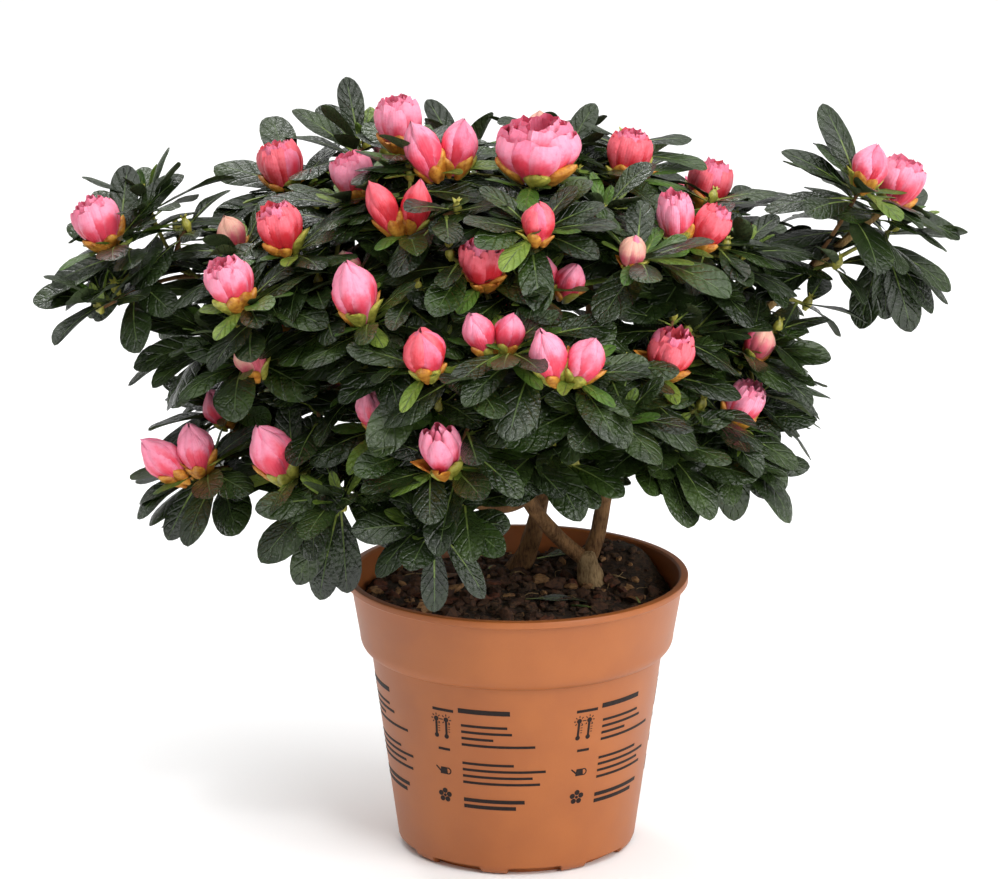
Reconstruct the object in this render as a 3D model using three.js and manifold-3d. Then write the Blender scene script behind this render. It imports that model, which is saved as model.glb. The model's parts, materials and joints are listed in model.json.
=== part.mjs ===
// A potted azalea: a low, spreading evergreen shrub with dark spoon-shaped leaves in whorls
// round half-open double buds, in a three-quarter-height plastic azalea pot.
// Millimetres, +Z up. The origin is the middle of the pot's flat underside.
// Two stems rise from the soil, and one forks into two limbs. Boughs leave them and end in a pair
// of masses of foliage. A mass is a fused spray of twigs, whorls of leaves and buds, all grown by
// a seeded rule that skips or turns whatever would touch its neighbours.

import * as THREE from "three";
import { mergeVertices } from "three/addons/utils/BufferGeometryUtils.js";
import Module from "manifold-3d";

const wasm = await Module();
wasm.setup();

// ---------------------------------------------------------------- driving dimensions

const GAP = 0.3; // between any two neighbouring solids
const WELD = 0.005; // corners of a fused solid closer than this become one

// The pot.
const POT_HEIGHT = 106;
const RIM_RADIUS = 65;
const LIP_HEIGHT = 2.8;
const LIP_OUT = 2; // how far the lip stands out of the collar
const COLLAR_RADIUS = 59.6; // at the bottom of the collar
const SHOULDER_Z = 77; // where the body ends and the collar begins
const SHOULDER_RADIUS = 55.4;
const SHOULDER_ROUNDING = 6; // height of the rounding under the collar
const BASE_RADIUS = 45.4;
const BASE_CORNER = 4;
const RIM_EDGE = 0.7; // the bevel of the lip's upper edge
const WALL = 1.4;
const FLOOR = 5; // thickness of the floor over the drainage notches
const POT_SIDES = 36;
const DRAIN_NOTCHES = 9;
const NOTCH_TURN = -11 / 360; // turns from the back to the first notch
const NOTCH_WIDTH = 20;
const NOTCH_HEIGHT = 3.2;
const NOTCH_REACH = 5; // how far a notch runs in from the base's edge

// The growing medium.
const SOIL_TOP = 97;
const SOIL_EDGE_DROP = 3;

// The wood. A limb's radii are those at its foot and its head.
const STEM_SIDES = 8;
const STEM_SUNK = 4; // how far a stem runs on below the ground, before its flat cut there
const BOUGH_SIDES = 5;
const TWIG_SIDES = 3;
const LIMB_STEPS = 5;
const BOUGH_STEPS = 3;
const SPRAY_STEPS = 3;
const ROOT_FLARE = 2.4; // how much wider a stem is at its foot
const FLARE_FADE = 6; // the height in which the flare dies away to a third
const BOUGH_RADII = [2.1, 1.4];
const BOUGH_LIFT = 0.5; // how far a bough leaves its limb upward for each step sideways
const SPRAY_RADII = [1.1, 0.8];
const TWIG_RADII = [0.9, 0.7];
const TWIG_STEPS = 2;

// The foliage. Leaves are fewer and larger than life.
const LEAVES_PER_WHORL = 5;
const LEAF_LENGTHS = [33.6, 44]; // from the first and innermost leaf of a whorl to its last
const LEAF_ANGLES = [61, 125]; // degrees between the shoot and a leaf, from the first to the last
const WHORL_DEPTH = 2.2; // how far below the first leaf of a whorl its last one springs
const LENGTH_PLAY = 6; // how much a leaf's length differs by chance
const ANGLE_PLAY = 14;
const LEAF_WIDTHS = [16.2, 19.8];
const LEAF_ARCHES = [0.06, 0.2]; // how far a leaf's tip falls, as a share of its length
const LEAF_THICKNESS = 1.1;
const LEAF_TRIES = 10;
const LEAF_TURN = 0.3; // radians that a crowded leaf turns round its shoot at each try
const LEAF_TILT = 0.03; // radians that it leans back or forward meanwhile
const BUD_LENGTH = 21;
const BUD_RADIUS = 8.4;
const BUD_SIDES = 5;
const BUD_SHARE = 0.6; // share of side shoots that bear a bud
const LEAD_SIZE = 1.05; // size of a leading shoot's bud
const SIDE_SIZES = [0.75, 1.1];
const SIDE_ANGLES = [96, 118]; // degrees that side shoots lie back from the leading one
const SIDE_REACHES = [0.9, 1.15]; // their distance from its tip, as shares of the mass's spread
const SIDE_FORKS = [0.45, 0.75]; // how far up the mass's stem they leave it
const SPIN_PLAY = 0.12; // turns by which their places round it differ by chance
const SHOOT_SPACING = 25; // least distance between two whorls
const SHOOT_LEAN = 0.6; // how far a shoot's tip leans outward for each step upward
const SHOOT_FLOOR = POT_HEIGHT + 30; // no side shoot ends lower than this
const SHOOT_TURNS = [0, 0.08, -0.08, 0.16, -0.16, 0.25, -0.25, 0.35, -0.35, 0.5];
const TIP_LENGTH = 7; // the pointed leaf bud of a shoot without bloom
const TIP_RADIUS = 2.4;
const TIP_SIDES = 4;
const TIP_ROOT = -5; // how far behind the shoot's tip its bud or leaf bud begins
const GOLDEN_ANGLE = Math.PI * (3 - Math.sqrt(5));
const FOLIAGE_FLOOR = POT_HEIGHT + 12; // no leaf hangs lower than this, unless its mass has a floor
const HEART = [4, 4, 160]; // the middle of the crown, which every shoot points away from

// The stems and the limbs that carry the boughs. A stem bows towards the place on the plan given
// as bow. A limb with a parent leaves its parent's head beside the parent's other limb.
const LIMBS = {
  stem_right: { foot: [29, 14], bow: [28, 13], head: [26, 12, 110], radii: [4.4, 4.1] },
  stem_left: { foot: [-1, 36], bow: [20, 30], head: [2, 22, 178], radii: [3.6, 2.6] },
  limb_left: { parent: "stem_right", head: [-14, -16, 172], radii: [3.0, 2.2] },
  limb_right: { parent: "stem_right", head: [30, -2, 180], radii: [3.2, 2.2] },
};
const LIMB_SPLAY = 0.7; // how far a fork's two limbs lean apart: sideways for each step ahead
const SPRAY_SPLAY = 0.3;
const LIMB_BEND = 0.35; // how far a limb keeps its first direction, as a share of its length
const BOUGH_BEND = 0.4;

// The boughs: the limb each leaves, how high up it (0 foot, 1 head), how far the bough reaches
// towards its masses (0 the limb, 1 their tips), and those masses: the place of the leading
// shoot's tip, how many side shoots it has, how far they spread, which way the first of them
// points (in turns round the leading shoot, from upward), and whether the leading shoot bears a bud.
// The masses over the front of the pot have a floor, above which their leaves end, so that the crown
// is open there and shows the stems.
const BOUGHS = {
  far_left: {
    limb: "stem_left", rise: 0.8, reach: 0.6,
    masses: {
      far_left: { tip: [-152, -8, 236], count: 2, spread: 24, turn: 0.11 },
      left_mid: { tip: [-112, -22, 202], count: 2, spread: 32, turn: 0.3, bloom: false },
    },
  },
  lower_left: {
    limb: "stem_left", rise: 0.44, reach: 0.6,
    masses: {
      lower_left: { tip: [-120, -38, 156], count: 1, spread: 30, turn: 0.3 },
      left_back_low: { tip: [-104, 26, 176], count: 2, spread: 34, turn: 0.2, bloom: false },
    },
  },
  low_front_left: {
    limb: "limb_left", rise: 0.42, reach: 0.5,
    masses: {
      lower_left_front: { tip: [-84, -58, 160], count: 1, spread: 28, turn: 0.82 },
      low_front_left: { tip: [-50, -68, 182], count: 1, spread: 26, turn: 0.15, bloom: false, floor: 140 },
    },
  },
  left: {
    limb: "limb_left", rise: 0.8, reach: 0.55,
    masses: {
      left: { tip: [-101, -55, 224], count: 1, spread: 34, turn: 0.14 },
      left_upper: { tip: [-84, -42, 242], count: 1, spread: 32, turn: 0.85 },
    },
  },
  top_left: {
    limb: "stem_left", rise: 1, reach: 0.55,
    masses: {
      top_left_back: { tip: [-86, 18, 252], count: 2, spread: 32, turn: 0.6 },
      back_left_top: { tip: [-46, 46, 256], count: 2, spread: 34, turn: 0.2 },
    },
  },
  top: {
    limb: "limb_left", rise: 1, reach: 0.6,
    masses: {
      top_left: { tip: [-42, -18, 275], count: 1, spread: 27, turn: 0.6 },
      upper_front_left: { tip: [-41, -51, 251], count: 1, spread: 30, turn: 0.3 },
    },
  },
  top_front: {
    limb: "limb_left", rise: 0.9, reach: 0.6,
    masses: {
      top_front: { tip: [7, -48, 270], count: 1, spread: 30, turn: 0.8 },
      upper_front: { tip: [-12, -70, 236], count: 2, spread: 28, turn: 0.8 },
    },
  },
  top_right: {
    limb: "limb_right", rise: 1, reach: 0.6,
    masses: {
      top_right: { tip: [40, -10, 262], count: 2, spread: 32, turn: 0.3 },
      back_top: { tip: [8, 34, 264], count: 2, spread: 34, turn: 0.4 },
    },
  },
  right_upper: {
    limb: "limb_right", rise: 0.9, reach: 0.6,
    masses: {
      right_upper: { tip: [62, -46, 245], count: 2, spread: 30, turn: 0.7 },
      right_top: { tip: [70, 8, 247], count: 2, spread: 28, turn: 0.7 },
    },
  },
  far_right: {
    limb: "limb_right", rise: 0.6, reach: 0.45,
    masses: {
      far_right: { tip: [139, 0, 249], count: 2, spread: 24, turn: 0.17 },
      right: { tip: [87, -29, 198], count: 1, spread: 30, turn: 0.25 },
    },
  },
  front_left: {
    limb: "limb_left", rise: 0.68, reach: 0.55,
    masses: {
      left_front: { tip: [-56, -72, 223], count: 2, spread: 28, turn: 0.12 },
      front_left: { tip: [-32, -92, 208], count: 1, spread: 28, turn: 0.4 },
    },
  },
  front_low: {
    limb: "limb_left", rise: 0.56, reach: 0.55,
    masses: {
      front_low: { tip: [-26, -98, 174], count: 1, spread: 30, turn: 0.2, floor: 124 },
      front_low_right: { tip: [12, -84, 178], count: 0, spread: 28, turn: 0.9, bloom: false, floor: 152 },
    },
  },
  front: {
    limb: "limb_right", rise: 0.78, reach: 0.55,
    masses: {
      front: { tip: [17, -99, 208], count: 2, spread: 26, turn: 0.15 },
      front_right: { tip: [53, -67, 202], count: 1, spread: 30, turn: 0.02 },
    },
  },
  low_right: {
    limb: "limb_right", rise: 0.46, reach: 0.5,
    masses: {
      low_front_right: { tip: [50, -64, 176], count: 1, spread: 30, turn: 0.8, bloom: false, floor: 138 },
      lower_right: { tip: [80, -38, 176], count: 1, spread: 30, turn: 0.3 },
    },
  },
  right_back: {
    limb: "limb_right", rise: 0.7, reach: 0.5,
    masses: {
      right_back: { tip: [88, 42, 216], count: 2, spread: 34, turn: 0.3 },
      right_back_low: { tip: [92, 28, 176], count: 2, spread: 34, turn: 0.1, bloom: false },
    },
  },
  back_right: {
    limb: "limb_right", rise: 0.36, reach: 0.5,
    masses: {
      back_right: { tip: [60, 84, 224], count: 3, spread: 36, turn: 0.2 },
      back_low_right: { tip: [56, 80, 172], count: 2, spread: 34, turn: 0.1 },
    },
  },
  back: {
    limb: "stem_left", rise: 0.56, reach: 0.5,
    masses: {
      back: { tip: [-8, 100, 228], count: 3, spread: 36, turn: 0.3 },
      back_low: { tip: [-6, 96, 174], count: 2, spread: 34, turn: 0.4 },
    },
  },
  back_left: {
    limb: "stem_left", rise: 0.64, reach: 0.5,
    masses: {
      back_left: { tip: [-74, 72, 222], count: 3, spread: 36, turn: 0.4 },
      back_low_left: { tip: [-66, 72, 172], count: 2, spread: 34, turn: 0.2, bloom: false },
    },
  },
};

// ---------------------------------------------------------------- small tools

const UP = new THREE.Vector3(0, 0, 1);
const vec = (...xyz) => new THREE.Vector3(...xyz);

/** A seeded stream of numbers from 0 to 1, the same on every run. */
function seeded(seed) {
  let state = seed >>> 0;
  return () => {
    state = (state + 0x6d2b79f5) >>> 0;
    let mixed = Math.imul(state ^ (state >>> 15), state | 1);
    mixed ^= mixed + Math.imul(mixed ^ (mixed >>> 7), mixed | 61);
    return ((mixed ^ (mixed >>> 14)) >>> 0) / 4294967296;
  };
}

/** The part of v at right angles to the unit vector axis, as a unit vector. */
function across(v, axis) {
  return v.clone().addScaledVector(axis, -v.dot(axis)).normalize();
}

/** The unit vector at an angle from axis, turned round it by spin. */
function tilted(axis, angle, spin) {
  const side = across(Math.abs(axis.z) < 0.9 ? UP : vec(1, 0, 0), axis).applyAxisAngle(axis, spin);
  return side.multiplyScalar(Math.sin(angle)).addScaledVector(axis, Math.cos(angle));
}

/** A closed mesh as a manifold-3d solid. */
function solidOf(geometry) {
  const bare = new THREE.BufferGeometry();
  bare.setAttribute("position", geometry.getAttribute("position"));
  bare.setIndex(geometry.index);
  const merged = mergeVertices(bare, 1e-4);
  return new wasm.Manifold(
    new wasm.Mesh({
      numProp: 3,
      vertProperties: merged.getAttribute("position").array,
      triVerts: new Uint32Array(merged.index.array),
    }),
  );
}

/** A manifold-3d solid as a three.js geometry. */
function geometryOf(solid) {
  const { vertProperties, triVerts } = solid.getMesh();
  const geometry = new THREE.BufferGeometry();
  geometry.setAttribute("position", new THREE.BufferAttribute(vertProperties, 3));
  geometry.setIndex(new THREE.BufferAttribute(triVerts, 1));
  return geometry;
}

/** Moves every corner of a geometry to where place puts it. */
function reshaped(geometry, place) {
  const corners = geometry.getAttribute("position");
  for (let i = 0; i < corners.count; i += 1) {
    corners.setXYZ(i, ...place(vec().fromBufferAttribute(corners, i)).toArray());
  }
  return geometry;
}

/** A solid turned round +Z from a profile of [radius, z] points that starts and ends on the axis. */
function turned(profile, sides) {
  const points = profile.map(([r, z]) => new THREE.Vector2(r, z));
  return new THREE.LatheGeometry(points, sides).rotateX(Math.PI / 2);
}

const blend = ([from, to], share) => from + (to - from) * share;

// ---------------------------------------------------------------- pot and soil

/** Points on a quarter turn between two [radius, z] points, bulging down and out. */
function rounded([r0, z0], [r1, z1], steps) {
  return Array.from({ length: steps + 1 }, (_, i) => {
    const turn = ((i / steps) * Math.PI) / 2;
    return [r0 + (r1 - r0) * Math.sin(turn), z0 + (z1 - z0) * (1 - Math.cos(turn))];
  });
}

const POT_OUTSIDE = [
  ...rounded([BASE_RADIUS - BASE_CORNER, 0], [BASE_RADIUS, BASE_CORNER], 2),
  ...rounded([SHOULDER_RADIUS, SHOULDER_Z], [COLLAR_RADIUS, SHOULDER_Z + SHOULDER_ROUNDING], 3),
  [RIM_RADIUS - LIP_OUT, POT_HEIGHT - LIP_HEIGHT],
  [RIM_RADIUS, POT_HEIGHT - LIP_HEIGHT],
  [RIM_RADIUS, POT_HEIGHT - RIM_EDGE],
  [RIM_RADIUS - RIM_EDGE, POT_HEIGHT],
];

// From the lip down to the floor.
const POT_INSIDE = [
  [RIM_RADIUS - LIP_OUT - WALL, POT_HEIGHT],
  [COLLAR_RADIUS - WALL, SHOULDER_Z + SHOULDER_ROUNDING + WALL],
  [SHOULDER_RADIUS - WALL, SHOULDER_Z + WALL],
  [BASE_RADIUS - WALL, FLOOR],
];

function potSolid() {
  const body = solidOf(turned([[0, 0], ...POT_OUTSIDE, ...POT_INSIDE, [0, FLOOR]], POT_SIDES));
  const notches = Array.from({ length: DRAIN_NOTCHES }, (_, i) => {
    const notch = new THREE.BoxGeometry(NOTCH_WIDTH, NOTCH_REACH * 2, NOTCH_HEIGHT * 2);
    const turn = NOTCH_TURN + i / DRAIN_NOTCHES;
    return solidOf(notch.translate(0, BASE_RADIUS, 0).rotateZ(turn * Math.PI * 2));
  });
  return body.subtract(wasm.Manifold.union(notches));
}

function soilGeometry() {
  const [rim, collar, shoulder, floor] = POT_INSIDE;
  const edgeZ = SOIL_TOP - SOIL_EDGE_DROP;
  const edge = blend([collar[0], rim[0]], (edgeZ - collar[1]) / (rim[1] - collar[1])) - GAP;
  return turned(
    [
      [0, floor[1] + GAP],
      [floor[0] - GAP, floor[1] + GAP],
      [shoulder[0] - GAP, shoulder[1]],
      [collar[0] - GAP, collar[1]],
      [edge, edgeZ],
      [edge - 2 * SOIL_EDGE_DROP, SOIL_TOP],
      [0, SOIL_TOP],
    ],
    POT_SIDES,
  );
}

// ---------------------------------------------------------------- the wood's middle lines

/** A curve that leaves start along a direction and ends at end. */
function bentCurve(start, along, end, stiffness) {
  const bend = start.clone().addScaledVector(along, start.distanceTo(end) * stiffness);
  return new THREE.QuadraticBezierCurve3(start, bend, end);
}

/**
 * One of the pair of limbs that stand side by side on their parent's head and splay apart. Its flat
 * foot slants down past the edge of that head.
 */
function forkedCurve(parentCurve, parentRadius, end, twinEnd, radius, splay) {
  const ahead = parentCurve.getTangentAt(1);
  const apart = across(end.clone().sub(twinEnd), ahead);
  const along = ahead.clone().addScaledVector(apart, splay).normalize();
  const beside = radius + GAP;
  const start = parentCurve
    .getPointAt(1)
    .addScaledVector(ahead, GAP + (parentRadius - beside) * splay)
    .addScaledVector(apart, beside);
  return bentCurve(start, along, end, LIMB_BEND);
}

function stemCurve({ foot, bow, head }) {
  const base = vec(...foot, SOIL_TOP - STEM_SUNK);
  const top = vec(...head);
  return new THREE.QuadraticBezierCurve3(base, vec(...bow, (base.z + top.z) / 2), top);
}

function limbCurve(limb) {
  if (!limb.parent) return stemCurve(limb);
  const parent = LIMBS[limb.parent];
  const twin = Object.values(LIMBS).find((other) => other !== limb && other.parent === limb.parent);
  const [end, twinEnd] = [limb, twin].map(({ head }) => vec(...head));
  return forkedCurve(stemCurve(parent), parent.radii[1], end, twinEnd, limb.radii[0], LIMB_SPLAY);
}

/** A limb tapers to its head, and a stem flares at its root. */
function limbRadius({ parent, head, radii }, share) {
  const risen = share * (head[2] - SOIL_TOP + STEM_SUNK);
  const flare = parent ? 0 : ROOT_FLARE * Math.exp(-risen / FLARE_FADE);
  return blend(radii, share) + flare;
}

const boughRadius = (share) => blend(BOUGH_RADII, share);

/** A bough leaves its limb sideways and upward, and bends up towards its masses. */
function boughCurve({ limb, rise, reach, masses }) {
  const line = limbCurve(LIMBS[limb]);
  const joint = line.getPointAt(rise);
  const [one, two] = Object.values(masses).map(({ tip }) => vec(...tip));
  const end = joint.clone().lerp(one.lerp(two, 0.5), reach);
  const ahead = line.getTangentAt(rise);
  if (rise === 1) return bentCurve(joint.clone().addScaledVector(ahead, GAP), ahead, end, LIMB_BEND);
  const out = across(end.clone().sub(joint), ahead);
  const along = out.addScaledVector(ahead, BOUGH_LIFT).normalize();
  const slope = Math.asin(along.dot(ahead));
  const setback = limbRadius(LIMBS[limb], rise) + 2 * GAP + BOUGH_RADII[0] * Math.sin(slope);
  const start = joint.clone().addScaledVector(along, setback / Math.cos(slope));
  return bentCurve(start, along, end, BOUGH_BEND);
}

/** A mass's own stem runs from its bough's tip to its leading shoot's tip. */
function sprayCurve(bough, mass) {
  const line = boughCurve(bough);
  const twin = Object.values(bough.masses).find((other) => other !== mass);
  const [end, twinEnd] = [mass, twin].map(({ tip }) => vec(...tip));
  return forkedCurve(line, BOUGH_RADII[1], end, twinEnd, SPRAY_RADII[0], SPRAY_SPLAY);
}

// ---------------------------------------------------------------- shoots

/** Which way a shoot's tip points: away from the crown's heart, and up towards the light. */
function shootAxis(tip) {
  return tip.clone().sub(vec(...HEART)).normalize().multiplyScalar(SHOOT_LEAN).add(UP).normalize();
}

const masses = Object.values(BOUGHS).flatMap((bough) =>
  Object.entries(bough.masses).map(([name, mass]) => {
    const stem = sprayCurve(bough, mass);
    const budded = mass.bloom !== false;
    const lead = { tip: stem.v2, twig: stem, radii: SPRAY_RADII, budded, size: LEAD_SIZE };
    return { ...mass, name, stem, shoots: [lead] };
  }),
);

/** Side shoots stand evenly round the leading one and behind it, turned on if they crowd another. */
function addSideShoots({ tip, stem, shoots, count, spread, turn }, random) {
  const [lead] = shoots;
  const outward = vec(...tip).sub(vec(...HEART)).normalize();
  for (let i = 0; i < count; i += 1) {
    const spin = turn + i / count + SPIN_PLAY * (random() - 0.5);
    const angle = THREE.MathUtils.degToRad(blend(SIDE_ANGLES, random()));
    const reach = spread * blend(SIDE_REACHES, random());
    const fork = blend(SIDE_FORKS, random());
    const budded = random() < BUD_SHARE;
    const size = blend(SIDE_SIZES, random());
    const others = masses.flatMap((mass) => mass.shoots).filter((other) => other !== lead);
    const places = SHOOT_TURNS.map((more) =>
      vec(...tip).addScaledVector(tilted(outward, angle, (spin + more) * Math.PI * 2), reach),
    );
    const roomy = (place) => others.every((other) => other.tip.distanceTo(place) > SHOOT_SPACING);
    const place = places.find((found) => found.z > SHOOT_FLOOR && roomy(found));
    if (!place) continue;
    const root = stem.getPointAt(fork);
    const along = place.clone().sub(root).normalize().add(stem.getTangentAt(fork)).normalize();
    const twig = bentCurve(root, along, place, LIMB_BEND);
    shoots.push({ tip: place, twig, radii: TWIG_RADII, budded, size });
  }
}

masses.forEach((mass, index) => addSideShoots(mass, seeded(11 + index)));

// ---------------------------------------------------------------- keeping clear

// Whatever takes up room is a set of edges and faces with a thickness round them: a piece of wood
// or a bud is one thick edge, and a leaf is a thin fan of faces.

/** The least distance between the straight lines from p to q and from r to s. */
function distanceBetween([p, q], [r, s]) {
  const u = q.clone().sub(p);
  const v = s.clone().sub(r);
  const w = p.clone().sub(r);
  const a = u.dot(u);
  const b = u.dot(v);
  const c = v.dot(v);
  const spread = a * c - b * b;
  const clamp = (x) => Math.min(1, Math.max(0, x));
  let m = spread > 1e-9 ? clamp((b * v.dot(w) - c * u.dot(w)) / spread) : 0;
  const n = clamp((b * m + v.dot(w)) / c);
  m = clamp((b * n - u.dot(w)) / a);
  return w.addScaledVector(u, m).addScaledVector(v, -n).length();
}

const nearest = vec();
const crossing = vec();
const ray = new THREE.Ray();

/** Whether an edge neither passes through a face nor ends nearer to it than margin. */
function edgeMisses([from, to], face, margin) {
  const ends = [from, to].every((end) => face.closestPointToPoint(end, nearest).distanceTo(end) > margin);
  ray.origin.copy(from);
  ray.direction.copy(to).sub(from).normalize();
  const hit = ray.intersectTriangle(face.a, face.b, face.c, false, crossing);
  return ends && !(hit && crossing.distanceTo(from) < from.distanceTo(to));
}

function clear(one, other) {
  const margin = one.thickness + other.thickness + GAP;
  if (one.middle.distanceTo(other.middle) > one.extent + other.extent + margin) return true;
  return (
    one.edges.every((edge) => other.edges.every((line) => distanceBetween(edge, line) > margin)) &&
    one.edges.every((edge) => other.faces.every((face) => edgeMisses(edge, face, margin))) &&
    other.edges.every((edge) => one.faces.every((face) => edgeMisses(edge, face, margin)))
  );
}

/** A straight piece of wood, or a bud, as something that takes up room. */
function rodRoom(from, to, thickness, belongs) {
  const middle = from.clone().lerp(to, 0.5);
  return { middle, extent: from.distanceTo(to) / 2, edges: [[from, to]], faces: [], thickness, ...belongs };
}

function limbRooms(curve, steps, radiusAt, belongs) {
  return Array.from({ length: steps }, (_, i) =>
    rodRoom(curve.getPointAt(i / steps), curve.getPointAt((i + 1) / steps), radiusAt(i / steps), belongs),
  );
}

const taken = [
  ...Object.values(LIMBS).flatMap((limb) => {
    return limbRooms(limbCurve(limb), LIMB_STEPS, (share) => limbRadius(limb, share), {});
  }),
  ...Object.values(BOUGHS).flatMap((bough) => {
    return limbRooms(boughCurve(bough), BOUGH_STEPS, boughRadius, {});
  }),
  ...masses.flatMap(({ name, stem }) => {
    return limbRooms(stem, SPRAY_STEPS, () => SPRAY_RADII[0], { mass: name });
  }),
];

/** Whether a mass's own space holds a point: one of its shoots is nearer than any other mass's. */
function inOwnSpace(point, mass) {
  const reach = (entry) => Math.min(...entry.shoots.map(({ tip }) => tip.distanceTo(point)));
  const own = reach(mass);
  return masses.every((other) => other === mass || reach(other) > own);
}

// ---------------------------------------------------------------- leaves, buds and twigs

/** A tapering limb along a curve: radiusAt takes the share of the way, from 0 to 1. */
function limbGeometry(curve, steps, sides, radiusAt) {
  const { normals, binormals } = curve.computeFrenetFrames(steps, false);
  return reshaped(new THREE.CylinderGeometry(1, 1, 1, sides, steps), ({ x, y, z }) => {
    const step = Math.round((y + 0.5) * steps);
    const radius = radiusAt(step / steps);
    return curve
      .getPointAt(step / steps)
      .addScaledVector(binormals[step], x * radius)
      .addScaledVector(normals[step], z * radius);
  });
}

// A leaf's outline, as shares of its length and of its half width: a point at the root, the widest
// place past the middle, and a blunt tip. Its underside falls to a low keel.
const LEAF_OUTLINE = [[0, 0], [0.56, -1], [0.96, -0.52], [0.96, 0.52], [0.56, 1]];
const LEAF_KEEL = [0.48, 0];
const LEAF_UPPER = [[0, 1, 4], [1, 2, 4], [2, 3, 4]];
const LEAF_LOWER = LEAF_OUTLINE.map((_, i) => [(i + 1) % LEAF_OUTLINE.length, i, LEAF_OUTLINE.length]);

/** A leaf's corners, its keel last. It arches over towards its tip. */
function leafCorners({ root, along, face, length, width, arch }) {
  const side = face.clone().cross(along);
  return [...LEAF_OUTLINE, LEAF_KEEL].map(([share, wide], i) => {
    const sink = i < LEAF_OUTLINE.length ? 0 : LEAF_THICKNESS;
    return root
      .clone()
      .addScaledVector(along, share * length)
      .addScaledVector(side, (wide * width) / 2)
      .addScaledVector(face, -sink - arch * length * share * share);
  });
}

function leafGeometry(corners) {
  const geometry = new THREE.BufferGeometry().setFromPoints(corners);
  geometry.setIndex([...LEAF_UPPER, ...LEAF_LOWER].flat());
  return geometry;
}

/** A leaf as something that takes up room: its outline's edges and faces, at half its depth. */
function leafRoom(outline, face, belongs) {
  const corners = outline.map((corner) => corner.clone().addScaledVector(face, -LEAF_THICKNESS / 2));
  const faces = LEAF_UPPER.map((upper) => new THREE.Triangle(...upper.map((i) => corners[i])));
  const edges = faces.flatMap(({ a, b, c }) => [[a, b], [b, c], [c, a]]);
  const { center, radius } = new THREE.Sphere().setFromPoints(corners);
  return { middle: center, extent: radius, edges, faces, thickness: LEAF_THICKNESS / 2, ...belongs };
}

/** Leaves round a shoot's tip, each turned on from the last by the golden angle. */
function growWhorl(shoot, mass, whorl, random) {
  const solids = [];
  const axis = shootAxis(shoot.tip);
  const start = random() * Math.PI * 2;
  for (let i = 0; i < LEAVES_PER_WHORL; i += 1) {
    const age = i / (LEAVES_PER_WHORL - 1);
    const length = blend(LEAF_LENGTHS, age) + LENGTH_PLAY * (random() - 0.5);
    const width = blend(LEAF_WIDTHS, random());
    const arch = blend(LEAF_ARCHES, random());
    const angle = THREE.MathUtils.degToRad(blend(LEAF_ANGLES, age) + ANGLE_PLAY * (random() - 0.5));
    for (let attempt = 0; attempt < LEAF_TRIES; attempt += 1) {
      const nudge = attempt % 2 ? attempt : -attempt;
      const spin = start + i * GOLDEN_ANGLE + nudge * LEAF_TURN;
      const along = tilted(axis, angle + nudge * LEAF_TILT, spin);
      const face = across(axis, along);
      const root = shoot.tip.clone().addScaledVector(axis, -age * WHORL_DEPTH);
      const corners = leafCorners({ root, along, face, length, width, arch });
      const room = leafRoom(corners, face, { mass: mass.name, whorl });
      const low = room.edges.flat().some((corner) => corner.z < (mass.floor ?? FOLIAGE_FLOOR));
      if (!low && inOwnSpace(room.middle, mass) && free(room)) {
        taken.push(room);
        solids.push(solidOf(leafGeometry(corners)));
        break;
      }
    }
  }
  return solids;
}

/** A solid turned round a shoot's tip, drawn out along it from just behind its end. */
function tipSolid({ tip }, profile, sides) {
  const turn = new THREE.Quaternion().setFromUnitVectors(UP, shootAxis(tip));
  return solidOf(turned(profile, sides).applyQuaternion(turn).translate(...tip.toArray()));
}

// A bud's outline, as shares of its radius and its length, and a leaf bud's in millimetres.
const BUD_OUTLINE = [[0, 0], [1, 0.5], [0.72, 0.88], [0, 1]];
const TIP_OUTLINE = [[0, TIP_ROOT], [TIP_RADIUS, -1], [0, TIP_LENGTH]];

/** What ends a shoot: a bud about to open, or a pointed leaf bud. */
function shootEnd(shoot) {
  if (!shoot.budded) return tipSolid(shoot, TIP_OUTLINE, TIP_SIDES);
  const bud = BUD_OUTLINE.map(([wide, high]) => {
    return [wide * BUD_RADIUS * shoot.size, TIP_ROOT + high * BUD_LENGTH * shoot.size];
  });
  return tipSolid(shoot, bud, BUD_SIDES);
}

/** A bud, or a leaf bud, as something that takes up room. */
function tipRoom({ tip, size, budded }, belongs) {
  const axis = shootAxis(tip);
  const [length, radius] = budded ? [BUD_LENGTH * size, BUD_RADIUS * size] : [TIP_LENGTH, TIP_RADIUS];
  const [from, to] = [radius, length - radius].map((z) => tip.clone().addScaledVector(axis, z));
  return rodRoom(from, to, radius, belongs);
}

/** Whether something is clear of all that is taken, but for its own mass's wood. */
function free(room) {
  return taken.every((other) => {
    const own = other.mass === room.mass && (!other.whorl || other.whorl === room.whorl);
    return own || clear(room, other);
  });
}

/** The twigs and buds come first, so that the leaves of every mass then grow clear of them. */
for (const mass of masses) {
  mass.shoots = mass.shoots.filter((shoot, i) => {
    const belongs = { mass: mass.name, whorl: `${mass.name}_${i}` };
    const twig = limbRooms(shoot.twig, TWIG_STEPS, () => TWIG_RADII[0], { mass: mass.name });
    shoot.budded = shoot.budded && free(tipRoom(shoot, belongs));
    const grows = i === 0 || (twig.every(free) && free(tipRoom(shoot, belongs)));
    if (grows) taken.push(tipRoom(shoot, belongs));
    if (grows && i > 0) taken.push(...twig);
    return grows;
  });
}

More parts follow.
